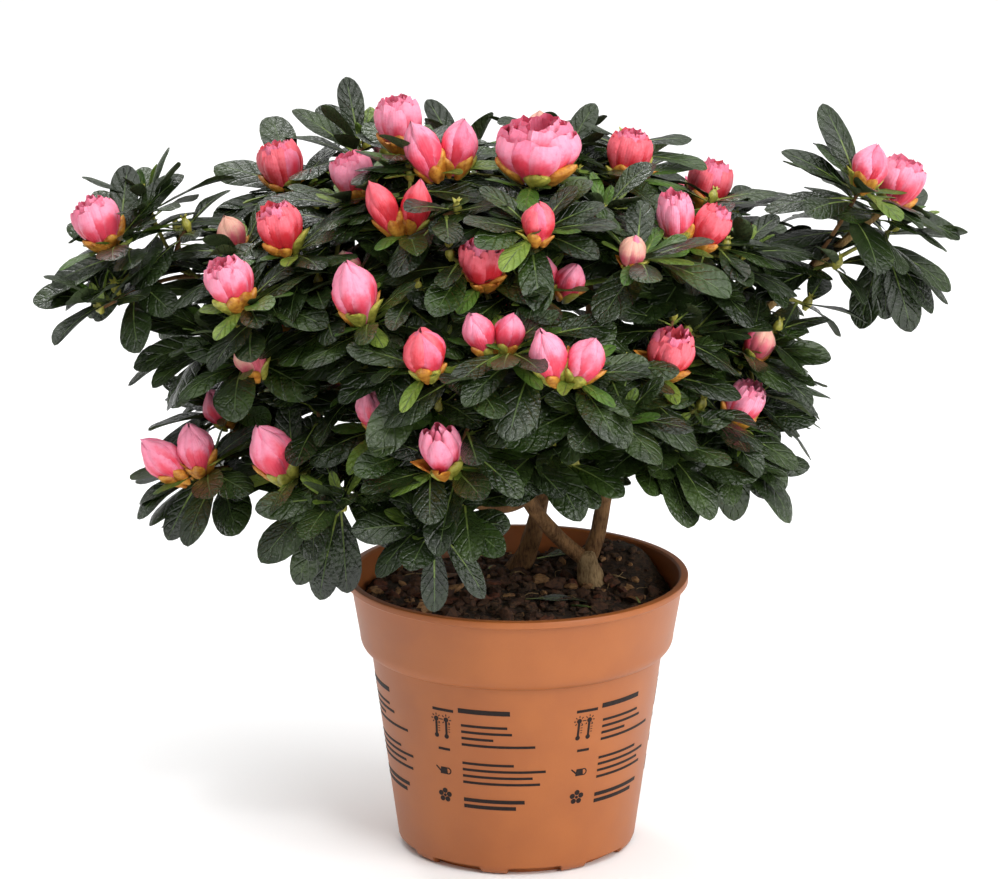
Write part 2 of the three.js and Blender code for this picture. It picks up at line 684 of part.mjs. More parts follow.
/** One mass of foliage, fused: its twigs, and the leaves and bud at the tip of each. */
function growMass(mass, index) {
  const random = seeded(501 + index);
  const parts = mass.shoots.flatMap((shoot, i) => {
    const steps = i === 0 ? SPRAY_STEPS : TWIG_STEPS;
    return [
      solidOf(limbGeometry(shoot.twig, steps, TWIG_SIDES, (share) => blend(shoot.radii, share))),
      shootEnd(shoot),
      ...growWhorl(shoot, mass, `${mass.name}_${i}`, random),
    ];
  });
  return mainBody(wasm.Manifold.union(parts)).simplify(WELD);
}

/** The largest body of a fused solid, without loose scraps or the walls of sealed hollows. */
function mainBody(solid) {
  return solid.decompose().reduce((best, body) => (body.volume() > best.volume() ? body : best));
}

/** A stem or limb. A stem is cut flat at ground level. */
function limbSolid(limb) {
  const radiusAt = (share) => limbRadius(limb, share);
  const whole = solidOf(limbGeometry(limbCurve(limb), LIMB_STEPS, STEM_SIDES, radiusAt));
  const ground = new THREE.BoxGeometry(RIM_RADIUS * 2, RIM_RADIUS * 2, SOIL_TOP * 2);
  return whole.subtract(solidOf(ground.translate(0, 0, GAP)));
}

// ---------------------------------------------------------------- the assembly

const surface = (color, roughness) => new THREE.MeshStandardMaterial({ color, roughness, metalness: 0 });
const SURFACES = {
  pot: surface(0xc47445, 0.45),
  soil: surface(0x2e2018, 0.95),
  bark: surface(0x7a5a3c, 0.8),
  foliage: surface(0x24361f, 0.4),
};

const plant = new THREE.Group();

function add(name, geometry, material) {
  geometry.computeVertexNormals();
  const mesh = new THREE.Mesh(geometry, material.clone());
  mesh.name = name;
  plant.add(mesh);
}

add("pot", geometryOf(potSolid()), SURFACES.pot);
add("soil", soilGeometry(), SURFACES.soil);
for (const [name, limb] of Object.entries(LIMBS)) {
  add(name, geometryOf(limbSolid(limb)), SURFACES.bark);
}
for (const [name, bough] of Object.entries(BOUGHS)) {
  const wood = limbGeometry(boughCurve(bough), BOUGH_STEPS, BOUGH_SIDES, boughRadius);
  add(`bough_${name}`, wood, SURFACES.bark);
}
masses.forEach((mass, index) => {
  add(`mass_${mass.name}`, geometryOf(growMass(mass, index)), SURFACES.foliage);
});

export default plant;
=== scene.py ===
# A potted azalea, dressed: the shrub's wood, leaves and half-open double blooms, its plastic pot
# with generic printing, and the peat it grows in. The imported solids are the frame.
# Lengths are millimetres in the rule that grows the plant, and metres once a piece is made.

import json
import math
from functools import partial
from typing import NamedTuple

import bpy
import numpy as np
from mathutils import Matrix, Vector, noise

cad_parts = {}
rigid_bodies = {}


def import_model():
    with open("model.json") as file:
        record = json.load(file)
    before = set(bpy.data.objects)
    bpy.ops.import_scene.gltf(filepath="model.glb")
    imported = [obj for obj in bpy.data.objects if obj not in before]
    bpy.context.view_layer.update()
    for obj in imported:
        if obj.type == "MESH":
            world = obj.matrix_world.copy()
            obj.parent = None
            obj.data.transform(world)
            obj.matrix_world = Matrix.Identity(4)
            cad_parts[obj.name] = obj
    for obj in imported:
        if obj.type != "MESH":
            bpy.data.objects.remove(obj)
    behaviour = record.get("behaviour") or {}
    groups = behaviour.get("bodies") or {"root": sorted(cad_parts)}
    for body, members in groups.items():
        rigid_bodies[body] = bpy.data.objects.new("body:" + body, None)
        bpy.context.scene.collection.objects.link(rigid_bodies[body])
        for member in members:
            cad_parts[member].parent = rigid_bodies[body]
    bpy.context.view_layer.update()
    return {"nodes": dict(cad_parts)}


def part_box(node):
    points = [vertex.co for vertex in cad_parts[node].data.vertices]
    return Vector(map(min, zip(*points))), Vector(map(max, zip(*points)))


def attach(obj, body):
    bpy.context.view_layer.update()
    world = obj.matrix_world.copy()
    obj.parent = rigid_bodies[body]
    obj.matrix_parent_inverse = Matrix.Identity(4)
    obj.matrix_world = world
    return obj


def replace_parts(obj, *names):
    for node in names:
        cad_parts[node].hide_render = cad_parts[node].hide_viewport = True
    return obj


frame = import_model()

# ---------------------------------------------------------------- named sizes, in millimetres

MM = 0.001
TURN = 2 * math.pi
GOLDEN_ANGLE = math.pi * (3 - math.sqrt(5))
UP = np.array([0.0, 0.0, 1.0])
STEEP = 0.9  # the height of a unit vector that counts as upright
GAP = 0.3

POT_CORNER = np.array(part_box("pot")[1]) / MM
POT_HEIGHT = POT_CORNER[2]
RIM_RADIUS = POT_CORNER[0]
LIP_HEIGHT = 2.8
LIP_OUT = 2  # how far the lip stands out of the collar
RIM_EDGE = 0.7  # how far in and down the rim's edges are rounded
COLLAR_RADIUS = 59.6  # at the bottom of the collar
SHOULDER_Z = 77  # where the body ends and the collar begins
SHOULDER_RADIUS = 55.4
SHOULDER_ROUNDING = 6  # height of the rounding under the collar
BASE_RADIUS = 45.4
BASE_CORNER = 4
WALL = 1.4
FLOOR = 5  # the height of the floor inside
POT_SIDES = 288
DRAIN_NOTCHES = 9
NOTCH_TURN = -11 / 360  # where the first notch stands, in turns from the back
NOTCH_WIDTH = 20
NOTCH_HEIGHT = 3.2
NOTCH_REACH = 5  # how far a notch runs in from the foot's edge

SOIL_TOP = np.array(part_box("soil")[1])[2] / MM

# The wood. A limb's radii are those at its foot and its head.
BOUGH_RADII = (2.1, 1.4)
BOUGH_LIFT = 0.5  # how a bough leaves its limb: ahead for each step sideways
SPRAY_RADII = (1.1, 0.8)
THICK_SPRAYS = {"far_right": (1.9, 1.5)}  # the stem that shows bare
TWIG_RADII = (0.9, 0.7)
ROOT_FLARE = 2.4
FLARE_FADE = 6  # the height in which the flare shrinks to about a third
STEM_SUNK = 4
LIMB_SPLAY = 0.7  # how far a fork's two limbs lean apart: sideways for each step ahead
SPRAY_SPLAY = 0.3
LIMB_BEND = 0.35  # how far a limb keeps its first direction, as a share of its length
BOUGH_BEND = 0.4

# The shoots of a mass: their buds, and how the side shoots stand round the leading one.
BUD_LENGTH = 21
BUD_RADIUS = 8.4
TIP_ROOT = -5  # how far from its shoot's tip a plain bud springs
BUD_SHARE = 0.6  # the share of side shoots that bear a bud
LEAD_SIZE = 1.05
SIDE_SIZES = (0.75, 1.1)
SIDE_ANGLES = (96, 118)
SIDE_REACHES = (0.9, 1.15)  # shares of the mass's spread
SIDE_FORKS = (0.45, 0.75)  # how far up the mass's stem
SPIN_PLAY = 0.12
SHOOT_SPACING = 25
SHOOT_LEAN = 0.6  # outward, for each step up
SHOOT_FLOOR = POT_HEIGHT + 30
SHOOT_TURNS = (0, 0.08, -0.08, 0.16, -0.16, 0.25, -0.25, 0.35, -0.35, 0.5)  # tried until there is room
FOLIAGE_FLOOR = POT_HEIGHT + 6  # how low leaves hang, and how low they do over the pot
OPEN_UNDER = POT_HEIGHT + 25
HEART = np.array([4.0, 4.0, 160.0])  # the middle that the crown grows out from
TIP_MATCH = 9  # how near the mass's solid a shoot's tip has to be, and its bud's
BUD_MATCH = 1
SHOOT_SEED = 11
KIND_SEED = 301
MASS_SEED = 901

LIMBS = {
    "stem_right": dict(foot=(29, 14), bow=(28, 13), head=(26, 12, 110), radii=(4.4, 4.1)),
    "stem_left": dict(foot=(-1, 36), bow=(20, 30), head=(2, 22, 178), radii=(3.6, 2.6)),
    "limb_left": dict(parent="stem_right", head=(-14, -16, 172), radii=(3.0, 2.2)),
    "limb_right": dict(parent="stem_right", head=(30, -2, 180), radii=(3.2, 2.2)),
}

# Each bough: its limb, how high up it leaves, how far it reaches, and its masses of foliage. A
# mass: its leading shoot's tip, its side shoots, how far they spread, which way the first one
# points, and the kind of its leading bloom, or None.
BOUGHS = {
    "far_left": ("stem_left", 0.8, 0.6, {
        "far_left": ((-152, -8, 236), 2, 24, 0.11, "pink"),
        "left_mid": ((-112, -22, 202), 2, 32, 0.3, None),
    }),
    "lower_left": ("stem_left", 0.44, 0.6, {
        "lower_left": ((-120, -38, 156), 1, 30, 0.3, "double"),
        "left_back_low": ((-104, 26, 176), 2, 34, 0.2, None),
    }),
    "low_front_left": ("limb_left", 0.42, 0.5, {
        "lower_left_front": ((-84, -58, 160), 1, 28, 0.82, "long_bud"),
        "low_front_left": ((-50, -68, 182), 1, 26, 0.15, "small_bud"),
    }),
    "left": ("limb_left", 0.8, 0.55, {
        "left": ((-101, -55, 224), 1, 34, 0.14, "pink"),
        "left_upper": ((-84, -42, 242), 1, 32, 0.85, "coral"),
    }),
    "top_left": ("stem_left", 1, 0.55, {
        "top_left_back": ((-86, 18, 252), 2, 32, 0.6, "coral"),
        "back_left_top": ((-46, 46, 256), 2, 34, 0.2, "pink"),
    }),
    "top": ("limb_left", 1, 0.6, {
        "top_left": ((-42, -18, 275), 1, 27, 0.6, "pink"),
        "upper_front_left": ((-41, -51, 251), 1, 30, 0.3, "split"),
    }),
    "top_front": ("limb_left", 0.9, 0.6, {
        "top_front": ((7, -48, 270), 1, 30, 0.8, "full"),
        "upper_front": ((-12, -70, 236), 2, 28, 0.8, "coral"),
    }),
    "top_right": ("limb_right", 1, 0.6, {
        "top_right": ((40, -10, 262), 2, 32, 0.3, "coral"),
        "back_top": ((8, 34, 264), 2, 34, 0.4, "green"),
    }),
    "right_upper": ("limb_right", 0.9, 0.6, {
        "right_upper": ((62, -46, 245), 2, 30, 0.7, "pair"),
        "right_top": ((70, 8, 247), 2, 28, 0.7, "coral"),
    }),
    "far_right": ("limb_right", 0.6, 0.45, {
        "far_right": ((139, 0, 249), 2, 24, 0.17, "pink"),
        "right": ((87, -29, 198), 1, 30, 0.25, "green"),
    }),
    "front_left": ("limb_left", 0.68, 0.55, {
        "left_front": ((-56, -72, 223), 2, 28, 0.12, "long_bud"),
        "front_left": ((-32, -92, 208), 1, 28, 0.4, "coral_bud"),
    }),
    "front_low": ("limb_left", 0.56, 0.55, {
        "front_low": ((-26, -98, 174), 1, 30, 0.2, "tulip"),
        "front_low_right": ((12, -84, 178), 0, 28, 0.9, None),
    }),
    "front": ("limb_right", 0.78, 0.55, {
        "front": ((17, -99, 208), 2, 26, 0.15, "double"),
        "front_right": ((53, -67, 202), 1, 30, 0.02, "coral"),
    }),
    "low_right": ("limb_right", 0.46, 0.5, {
        "low_front_right": ((50, -64, 176), 1, 30, 0.8, None),
        "lower_right": ((80, -38, 176), 1, 30, 0.3, "small_open"),
    }),
    "right_back": ("limb_right", 0.7, 0.5, {
        "right_back": ((88, 42, 216), 2, 34, 0.3, "pink"),
        "right_back_low": ((92, 28, 176), 2, 34, 0.1, None),
    }),
    "back_right": ("limb_right", 0.36, 0.5, {
        "back_right": ((60, 84, 224), 3, 36, 0.2, "coral"),
        "back_low_right": ((56, 80, 172), 2, 34, 0.1, "pink"),
    }),
    "back": ("stem_left", 0.56, 0.5, {
        "back": ((-8, 100, 228), 3, 36, 0.3, "pink"),
        "back_low": ((-6, 96, 174), 2, 34, 0.4, "coral"),
    }),
    "back_left": ("stem_left", 0.64, 0.5, {
        "back_left": ((-74, 72, 222), 3, 36, 0.4, "coral"),
        "back_low_left": ((-66, 72, 172), 2, 34, 0.2, None),
    }),
}
SIDE_BLOOMS = ("pink", "green", "pink_bud", "coral", "long_bud", "coral_bud", "green")
# The side shoots whose blooms are not left to the draw, mass by mass.
SIDE_KINDS = {
    "far_left": (None, None),
    "left_mid": (None, "green"),
    "lower_left": (None,),
    "lower_left_front": (None,),
    "low_front_left": ("small_bud",),
    "left": ("green",),
    "left_upper": ("pink",),
    "top_left_back": (None, None),
    "top_left": ("double",),
    "top_front": ("coral_bud",),
    "upper_front": ("double",),
    "top_right": ("green", None),
    "right_upper": (None, "green"),
    "right": (None,),
    "left_front": ("green",),
    "front_low": (None,),
    "front": ("double", None),
    "low_front_right": (None,),
}

# How low the leaves of some masses hang. Over the front of the pot the crown is open.
MASS_FLOORS = {
    "lower_left": 128,
    "low_front_left": 140,
    "front_low": 124,
    "front_low_right": 146,
    "low_front_right": 132,
    "lower_right": 132,
}

# ---------------------------------------------------------------- small tools


def seeded(seed):
    """A seeded stream of numbers from 0 to 1, the same on every run."""
    mask = 0xFFFFFFFF
    state = seed & mask

    def draw():
        nonlocal state
        state = (state + 0x6D2B79F5) & mask
        mixed = ((state ^ (state >> 15)) * (state | 1)) & mask
        mixed ^= (mixed + (mixed ^ (mixed >> 7)) * (mixed | 61)) & mask
        return (mixed ^ (mixed >> 14)) / 2**32

    return draw


def vec(*numbers):
    return np.array(numbers, float)


def unit(v):
    return v / np.linalg.norm(v)


def across(v, axis):
    """The part of v at right angles to the unit vector axis, as a unit vector."""
    return unit(v - axis * v.dot(axis))


def tilted(axis, angle, spin):
    """The unit vector at an angle from axis, turned round it by spin."""
    side = across(UP if abs(axis[2]) < STEEP else vec(1, 0, 0), axis)
    side = side * math.cos(spin) + np.cross(axis, side) * math.sin(spin)
    return side * math.sin(angle) + axis * math.cos(angle)


def blend(pair, share):
    return pair[0] + (pair[1] - pair[0]) * share


def eased(share):
    """Rises from 0 to 1 with share, ever more gently."""
    return np.sin(np.clip(share, 0, 1) * math.pi / 2)


def turns_round(sides):
    return np.arange(sides) / sides * TURN


def ring(turns, radius, z):
    """Points round the Z axis, at one radius and height or at one for each turn."""
    return np.stack(np.broadcast_arrays(np.cos(turns) * radius, np.sin(turns) * radius, z), axis=1)


class Bend:
    """A curve from start to end that sets out towards bend, walked by share of its length."""

    def __init__(self, start, bend, end, steps=200):
        self.ends = start, bend, end
        t = np.linspace(0, 1, steps + 1)
        points = self.at(t[:, None])
        walked = np.cumsum(np.linalg.norm(np.diff(points, axis=0), axis=1))
        self.t, self.walked = t, np.concatenate([[0], walked])

    def at(self, t):
        start, bend, end = self.ends
        return (1 - t) ** 2 * start + 2 * t * (1 - t) * bend + t**2 * end

    def moment(self, share):
        return np.interp(share * self.walked[-1], self.walked, self.t)

    def point(self, share):
        return self.at(self.moment(share))

    def tangent(self, share):
        start, bend, end = self.ends
        t = self.moment(share)
        return unit((1 - t) * (bend - start) + t * (end - bend))


def bent(start, along, end, stiffness):
    return Bend(start, start + along * np.linalg.norm(end - start) * stiffness, end)


# ---------------------------------------------------------------- where the plant grows


def forked(parent_line, parent_radius, end, twin_end, radius, splay):
    """One of the pair of limbs that stand side by side on their parent's head and splay apart."""
    ahead = parent_line.tangent(1)
    apart = across(end - twin_end, ahead)
    beside = radius + GAP
    start = parent_line.point(1) + ahead * (GAP + (parent_radius - beside) * splay) + apart * beside
    return bent(start, unit(ahead + apart * splay), end, LIMB_BEND)


def stem_line(limb):
    base = vec(*limb["foot"], SOIL_TOP - STEM_SUNK)
    top = vec(*limb["head"])
    return Bend(base, vec(*limb["bow"], (base[2] + top[2]) / 2), top)


def limb_line(limb):
    if "parent" not in limb:
        return stem_line(limb)
    parent = LIMBS[limb["parent"]]
    twins = [other for other in LIMBS.values() if other.get("parent") == limb["parent"]]
    twin = twins[1] if twins[0] is limb else twins[0]
    ends = vec(*limb["head"]), vec(*twin["head"])
    return forked(stem_line(parent), parent["radii"][1], *ends, limb["radii"][0], LIMB_SPLAY)


def limb_radius(limb, share):
    risen = share * (limb["head"][2] - SOIL_TOP + STEM_SUNK)
    flare = 0 if "parent" in limb else ROOT_FLARE * math.exp(-risen / FLARE_FADE)
    return blend(limb["radii"], share) + flare


def bough_line(bough):
    limb, rise, reach, masses = bough
    line = limb_line(LIMBS[limb])
    joint = line.point(rise)
    one, two = (vec(*tip) for tip, *_ in masses.values())
    end = joint + ((one + two) / 2 - joint) * reach
    ahead = line.tangent(rise)
    if rise == 1:
        return bent(joint + ahead * GAP, ahead, end, LIMB_BEND)
    along = unit(across(end - joint, ahead) + ahead * BOUGH_LIFT)
    slope = math.asin(along.dot(ahead))
    setback = limb_radius(LIMBS[limb], rise) + 2 * GAP + BOUGH_RADII[0] * math.sin(slope)
    return bent(joint + along * setback / math.cos(slope), along, end, BOUGH_BEND)


class Shoot:
    """A twig and what stands at its tip."""

    def __init__(self, line, radii, bloom, size):
        self.line, self.radii, self.bloom, self.size = line, radii, bloom, size
        self.tip = line.ends[2]
        self.axis = unit(unit(self.tip - HEART) * SHOOT_LEAN + UP)
        self.length = np.linalg.norm(self.tip - line.point(0))

    def behind(self, distance):
        """The point on the twig that is a distance back from its tip."""
        return self.line.point(max(0, 1 - distance / self.length))


class Mass:
    """A mass of foliage: a stem from its bough's tip, and the shoots that it carries."""

    def __init__(self, name, bough, entry, twin_tip):
        tip, self.count, self.spread, self.turn, self.bloom = entry
        self.name = name
        self.tip = vec(*tip)
        twin = vec(*twin_tip)
        line = bough_line(bough)
        self.stem = forked(line, BOUGH_RADII[1], self.tip, twin, SPRAY_RADII[0], SPRAY_SPLAY)
        self.shoots = [Shoot(self.stem, THICK_SPRAYS.get(name, SPRAY_RADII), self.bloom, LEAD_SIZE)]
        self.node = "mass_" + name
        corners = frame["nodes"][self.node].data.vertices
        self.solid = np.array([corner.co for corner in corners]) / MM

    def reaches(self, point, margin):
        """Whether the mass's solid has a corner within margin of a point."""
        return np.linalg.norm(self.solid - point, axis=1).min() < margin

    def add_side_shoots(self, masses, draw):
        outward = unit(self.tip - HEART)
        lead = self.shoots[0]
        for i in range(self.count):
            spin = self.turn + i / self.count + SPIN_PLAY * (draw() - 0.5)
            angle = math.radians(blend(SIDE_ANGLES, draw()))
            reach = self.spread * blend(SIDE_REACHES, draw())
            fork = blend(SIDE_FORKS, draw())
            budded = draw() < BUD_SHARE
            size = blend(SIDE_SIZES, draw())
            others = [shoot.tip for mass in masses for shoot in mass.shoots if shoot is not lead]
            ways = [tilted(outward, angle, (spin + more) * TURN) for more in SHOOT_TURNS]
            places = [self.tip + way * reach for way in ways]
            place = next((p for p in places if p[2] > SHOOT_FLOOR and is_roomy(p, others)), None)
            if place is None:
                continue
            root = self.stem.point(fork)
            along = unit(unit(place - root) + self.stem.tangent(fork))
            line = bent(root, along, place, LIMB_BEND)
            self.shoots.append(Shoot(line, TWIG_RADII, "pink" if budded else None, size))


def is_roomy(place, others):
    return all(np.linalg.norm(other - place) > SHOOT_SPACING for other in others)


def grow_plan():
    """Every mass with its shoots, of which those stay that the mass's solid has too."""
    masses = []
    for bough in BOUGHS.values():
        entries = bough[3]
        for name, entry in entries.items():
            twin = next(other for key, other in entries.items() if key != name)
            masses.append(Mass(name, bough, entry, twin[0]))
    for index, mass in enumerate(masses):
        mass.add_side_shoots(masses, seeded(SHOOT_SEED + index))
    for index, mass in enumerate(masses):
        draw = seeded(KIND_SEED + index)
        mass.shoots = [shoot for shoot in mass.shoots if mass.reaches(shoot.tip, TIP_MATCH)]
        chosen = SIDE_KINDS.get(mass.name)
        for place, shoot in enumerate(mass.shoots[1:]):
            apex = shoot.tip + shoot.axis * (TIP_ROOT + BUD_LENGTH * shoot.size)
            kind = SIDE_BLOOMS[int(draw() * len(SIDE_BLOOMS))]
            budded = shoot.bloom and mass.reaches(apex, BUD_MATCH)
            shoot.bloom = chosen[place] if chosen else kind if budded else None
    return masses


# ---------------------------------------------------------------- gathering small meshes


class Pile:
    """Small meshes gathered to be joined as one piece, each face with its finish."""

    def __init__(self):
        self.points, self.faces, self.finishes, self.spots = [], [], [], []
        self.count = 0

    def add(self, points, faces, finish, spots=None):
        """finish is one name or one for each face. spots place the points on the finish."""
        points = np.asarray(points, float).reshape(-1, 3)
        self.points.append(points)
        self.faces.extend((np.asarray(face) + self.count).tolist() for face in faces)
        self.finishes.extend([finish] * len(faces) if isinstance(finish, str) else finish)
        self.spots.append(np.zeros((len(points), 2)) if spots is None else spots)
        self.count += len(points)

    def triangles(self):
        return sum(len(face) - 2 for face in self.faces)

    def piece(self, name, slot, finishes, crease=50):
        """The pile as one object with its materials, smooth but for edges sharper than crease."""
        mesh = bpy.data.meshes.new(name)
        points = np.concatenate(self.points) * MM
        sizes = np.array([len(face) for face in self.faces])
        corners = np.fromiter((i for face in self.faces for i in face), np.int32, sizes.sum())
        mesh.vertices.add(len(points))
        mesh.vertices.foreach_set("co", points.ravel())
        mesh.loops.add(len(corners))
        mesh.loops.foreach_set("vertex_index", corners)
        mesh.polygons.add(len(sizes))
        mesh.polygons.foreach_set("loop_start", (np.cumsum(sizes) - sizes).astype(np.int32))
        used = sorted(set(self.finishes))
        order = {finish: i for i, finish in enumerate(used)}
        for finish in used:
            mesh.materials.append(finishes[finish])
        mesh.polygons.foreach_set("material_index", [order[finish] for finish in self.finishes])
        mesh.polygons.foreach_set("use_smooth", np.ones(len(sizes), bool))
        spots = mesh.uv_layers.new(name="spots")
        spots.data.foreach_set("uv", np.concatenate(self.spots)[corners].ravel())
        mesh.update(calc_edges=True)
        mesh.set_sharp_from_angle(angle=math.radians(crease))
        thing = bpy.data.objects.new(name, mesh)
        bpy.context.scene.collection.objects.link(thing)
        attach(thing, "root")
        return thing


def grid_faces(rows, columns, closed=False):
    """The quads between rows of points. closed joins each row's last point to its first."""
    wide = columns if closed else columns + 1
    index = np.arange((rows + 1) * wide).reshape(rows + 1, wide)
    right = np.roll(index, -1, axis=1) if closed else index[:, 1:]
    left = index if closed else index[:, :-1]
    return np.stack([left[:-1], right[:-1], right[1:], left[1:]], axis=-1).reshape(-1, 4)


def closed_faces(rings, sides):
    """The faces of a closed skin: quads between its rings, and a cap on the first and the last."""
    last = (rings - 1) * sides
    caps = [list(range(sides))[::-1], list(range(last, last + sides))]
    return grid_faces(rings - 1, sides, closed=True).tolist() + caps


def add_sheet(pile, grid, thickness, upper, under, spots):
    """A thin closed sheet: an upper grid of points and an under one that shares its rim.

    upper names the finish of each of the upper faces, row by row, and under that of the rest.
    """
    rows, columns = grid.shape[0] - 1, grid.shape[1] - 1
    down = np.gradient(grid, axis=0)
    side = np.gradient(grid, axis=1)
    normal = np.cross(side, down)
    normal /= np.maximum(np.linalg.norm(normal, axis=2, keepdims=True), 1e-9)
    inner = (grid - normal * thickness)[1:-1, 1:-1].reshape(-1, 3)
    index = np.arange(grid.shape[0] * grid.shape[1]).reshape(grid.shape[:2])
    below = index.copy()
    below[1:-1, 1:-1] = index.size + np.arange(len(inner)).reshape(rows - 1, columns - 1)
    faces = grid_faces(rows, columns)
    under_faces = below.ravel()[faces][:, ::-1]
    places = np.concatenate([spots.reshape(-1, 2), spots[1:-1, 1:-1].reshape(-1, 2)])
    points = np.concatenate([grid.reshape(-1, 3), inner])
    pile.add(points, np.concatenate([faces, under_faces]), upper + [under] * len(faces), places)


def sheet_spots(u, v):
    """Where the points of a sheet lie on its finish, for u from -1 to 1 across it and v along it."""
    return np.stack(np.broadcast_arrays((u + 1) / 2, v), axis=-1)


def add_tube(pile, points, radii, sides, finish, relief=None):
    """A closed tube through points. relief gives each ring's radii in shares of its radius."""
    points = np.asarray(points)
    ahead = np.gradient(points, axis=0)
    ahead /= np.linalg.norm(ahead, axis=1, keepdims=True)
    side = across(vec(0.3, 0.9, 0.1) if abs(ahead[0][2]) > STEEP else UP, ahead[0])
    rings, spots = [], []
    turns = turns_round(sides)
    for i, (point, along) in enumerate(zip(points, ahead)):
        side = across(side, along)
        over = np.cross(along, side)
        radius = radii[i] * (relief[i] if relief is not None else np.ones(sides))
        around = np.outer(np.cos(turns) * radius, side) + np.outer(np.sin(turns) * radius, over)
        rings.append(point + around)
        spots.append(np.stack([turns / TURN, np.full(sides, i / len(points))], axis=1))
    faces = closed_faces(len(points), sides)
    pile.add(np.concatenate(rings), faces, finish, np.concatenate(spots))


# ---------------------------------------------------------------- finishes


class Signal:
    """A socket in a material. Arithmetic on it adds Math nodes."""

    def __init__(self, finish, socket):
        self.finish, self.socket = finish, socket

    def reckon(self, operation, *values):
        return self.finish.node("ShaderNodeMath", {"operation": operation}, dict(enumerate(values)))

    def __add__(self, other):
        return self.reckon("ADD", self, other)

    def __sub__(self, other):
        return self.reckon("SUBTRACT", self, other)

    def __rsub__(self, other):
        return self.reckon("SUBTRACT", other, self)

    def __mul__(self, other):
        return self.reckon("MULTIPLY", self, other)

    def __abs__(self):
        return self.reckon("ABSOLUTE", self)

    __radd__ = __add__
    __rmul__ = __mul__

    def wave(self):
        """0 at whole numbers and 1 halfway between them."""
        return abs(self.reckon("PINGPONG", self, 0.5)) * 2

    def within(self, low, high):
        """0 below low, 1 above high, and smooth between."""
        inputs = {"Value": self, "From Min": low, "From Max": high}
        return self.finish.node("ShaderNodeMapRange", {"interpolation_type": "SMOOTHSTEP"}, inputs)


MIX_INPUTS = (0, 6, 7)  # a Mix node's share and its two colours


class Finish:
    """A material, with its principled shader and the nodes that feed it."""

    def __init__(self, name, colour, roughness, gloss=0.5, **values):
        self.material = bpy.data.materials.new(name)
        self.material.use_nodes = True
        self.nodes = self.material.node_tree.nodes
        self.links = self.material.node_tree.links
        self.shader = next(node for node in self.nodes if node.type == "BSDF_PRINCIPLED")
        self.set({"Base Color": colour, "Roughness": roughness, "Specular IOR Level": gloss, **values})
        self.material.diffuse_color = (*colour[:3], 1)

    def set(self, inputs):
        self.fill(self.shader, inputs)

    def fill(self, node, inputs):
        for key, value in inputs.items():
            socket = node.inputs[key]
            if isinstance(value, Signal):
                self.links.new(value.socket, socket)
            elif hasattr(socket.default_value, "__len__") and len(value) < len(socket.default_value):
                socket.default_value = (*value, 1)
            else:
                socket.default_value = value

    def node(self, kind, settings=None, inputs=None, output=0):
        node = self.nodes.new(kind)
        for key, value in (settings or {}).items():
            setattr(node, key, value)
        self.fill(node, inputs or {})
        shown = [socket for socket in node.outputs if socket.enabled]
        return Signal(self, node.outputs[output] if isinstance(output, str) else shown[output])

    def place(self):
        return self.node("ShaderNodeTexCoord", output="Object")

    def spots(self):
        """How far across and how far along its own leaf or petal a point lies, from 0 to 1."""
        spot = self.node("ShaderNodeTexCoord", output="UV")
        split = self.node("ShaderNodeSeparateXYZ", inputs={0: spot}).socket.node
        return [Signal(self, socket) for socket in split.outputs[:2]]

    def noise(self, size, detail=3, roughness=0.5, where=None):
        """Cloudy noise from 0 to 1 whose clouds are about size millimetres across."""
        inputs = {"Vector": where or self.place(), "Scale": 1 / (size * MM), "Detail": detail}
        return self.node("ShaderNodeTexNoise", {"noise_dimensions": "3D"}, {**inputs, "Roughness": roughness})

    def cells(self, size):
        """How far a point is from the middle of its cell, for cells about size millimetres across."""
        return self.node("ShaderNodeTexVoronoi", inputs={"Vector": self.place(), "Scale": 1 / (size * MM)})

    def stretched(self, sideways, upright):
        """Where a point is, with its distances sideways and upright multiplied."""
        scale = (sideways, sideways, upright)
        return self.node("ShaderNodeVectorMath", {"operation": "MULTIPLY"}, {0: self.place(), 1: scale})

    def mixed(self, share, one, two):
        """Colour one where share is 0 and colour two where it is 1."""
        inputs = dict(zip(MIX_INPUTS, (share, one, two)))
        return self.node("ShaderNodeMix", {"data_type": "RGBA"}, inputs)

    def bump(self, height, depth):
        """Relief, depth millimetres deep for a height of 1."""
        inputs = {"Height": height, "Distance": depth * MM, "Strength": 1.0}
        self.set({"Normal": self.node("ShaderNodeBump", inputs=inputs)})


def shade(text):
    """A screen colour written as rrggbb, as the linear colour that a material takes."""
    values = [int(text[i : i + 2], 16) / 255 for i in (0, 2, 4)]
    return tuple(v / 12.92 if v < 0.04045 else ((v + 0.055) / 1.055) ** 2.4 for v in values)


def leaf_finish(name, dark, light, roughness=0.22, gloss=0.55):
    """Leathery and finely quilted: small domes between sunken veins, with a broken gloss."""
    finish = Finish(name, shade(dark), roughness, gloss)
    clouds = finish.noise(size=14, detail=2)
    fine = finish.noise(size=0.7, detail=4, roughness=0.65)
    greens = (clouds * 0.8 + fine * 0.3).within(low=0.35, high=0.85)
    finish.set({
        "Base Color": finish.mixed(greens, shade(dark), shade(light)),
        "Roughness": roughness - 0.1 + fine * 0.2,
    })
    half, along = finish.spots()
    side = abs(half - 0.5) * 2
    veins = (along * 6 - side * 1.5).wave().within(low=0.0, high=0.3)
    quilt = finish.cells(size=1.5)
    finish.bump(veins * 0.5 + (1 - quilt) * 0.6 + fine * 0.4, depth=0.6)
    return finish.material


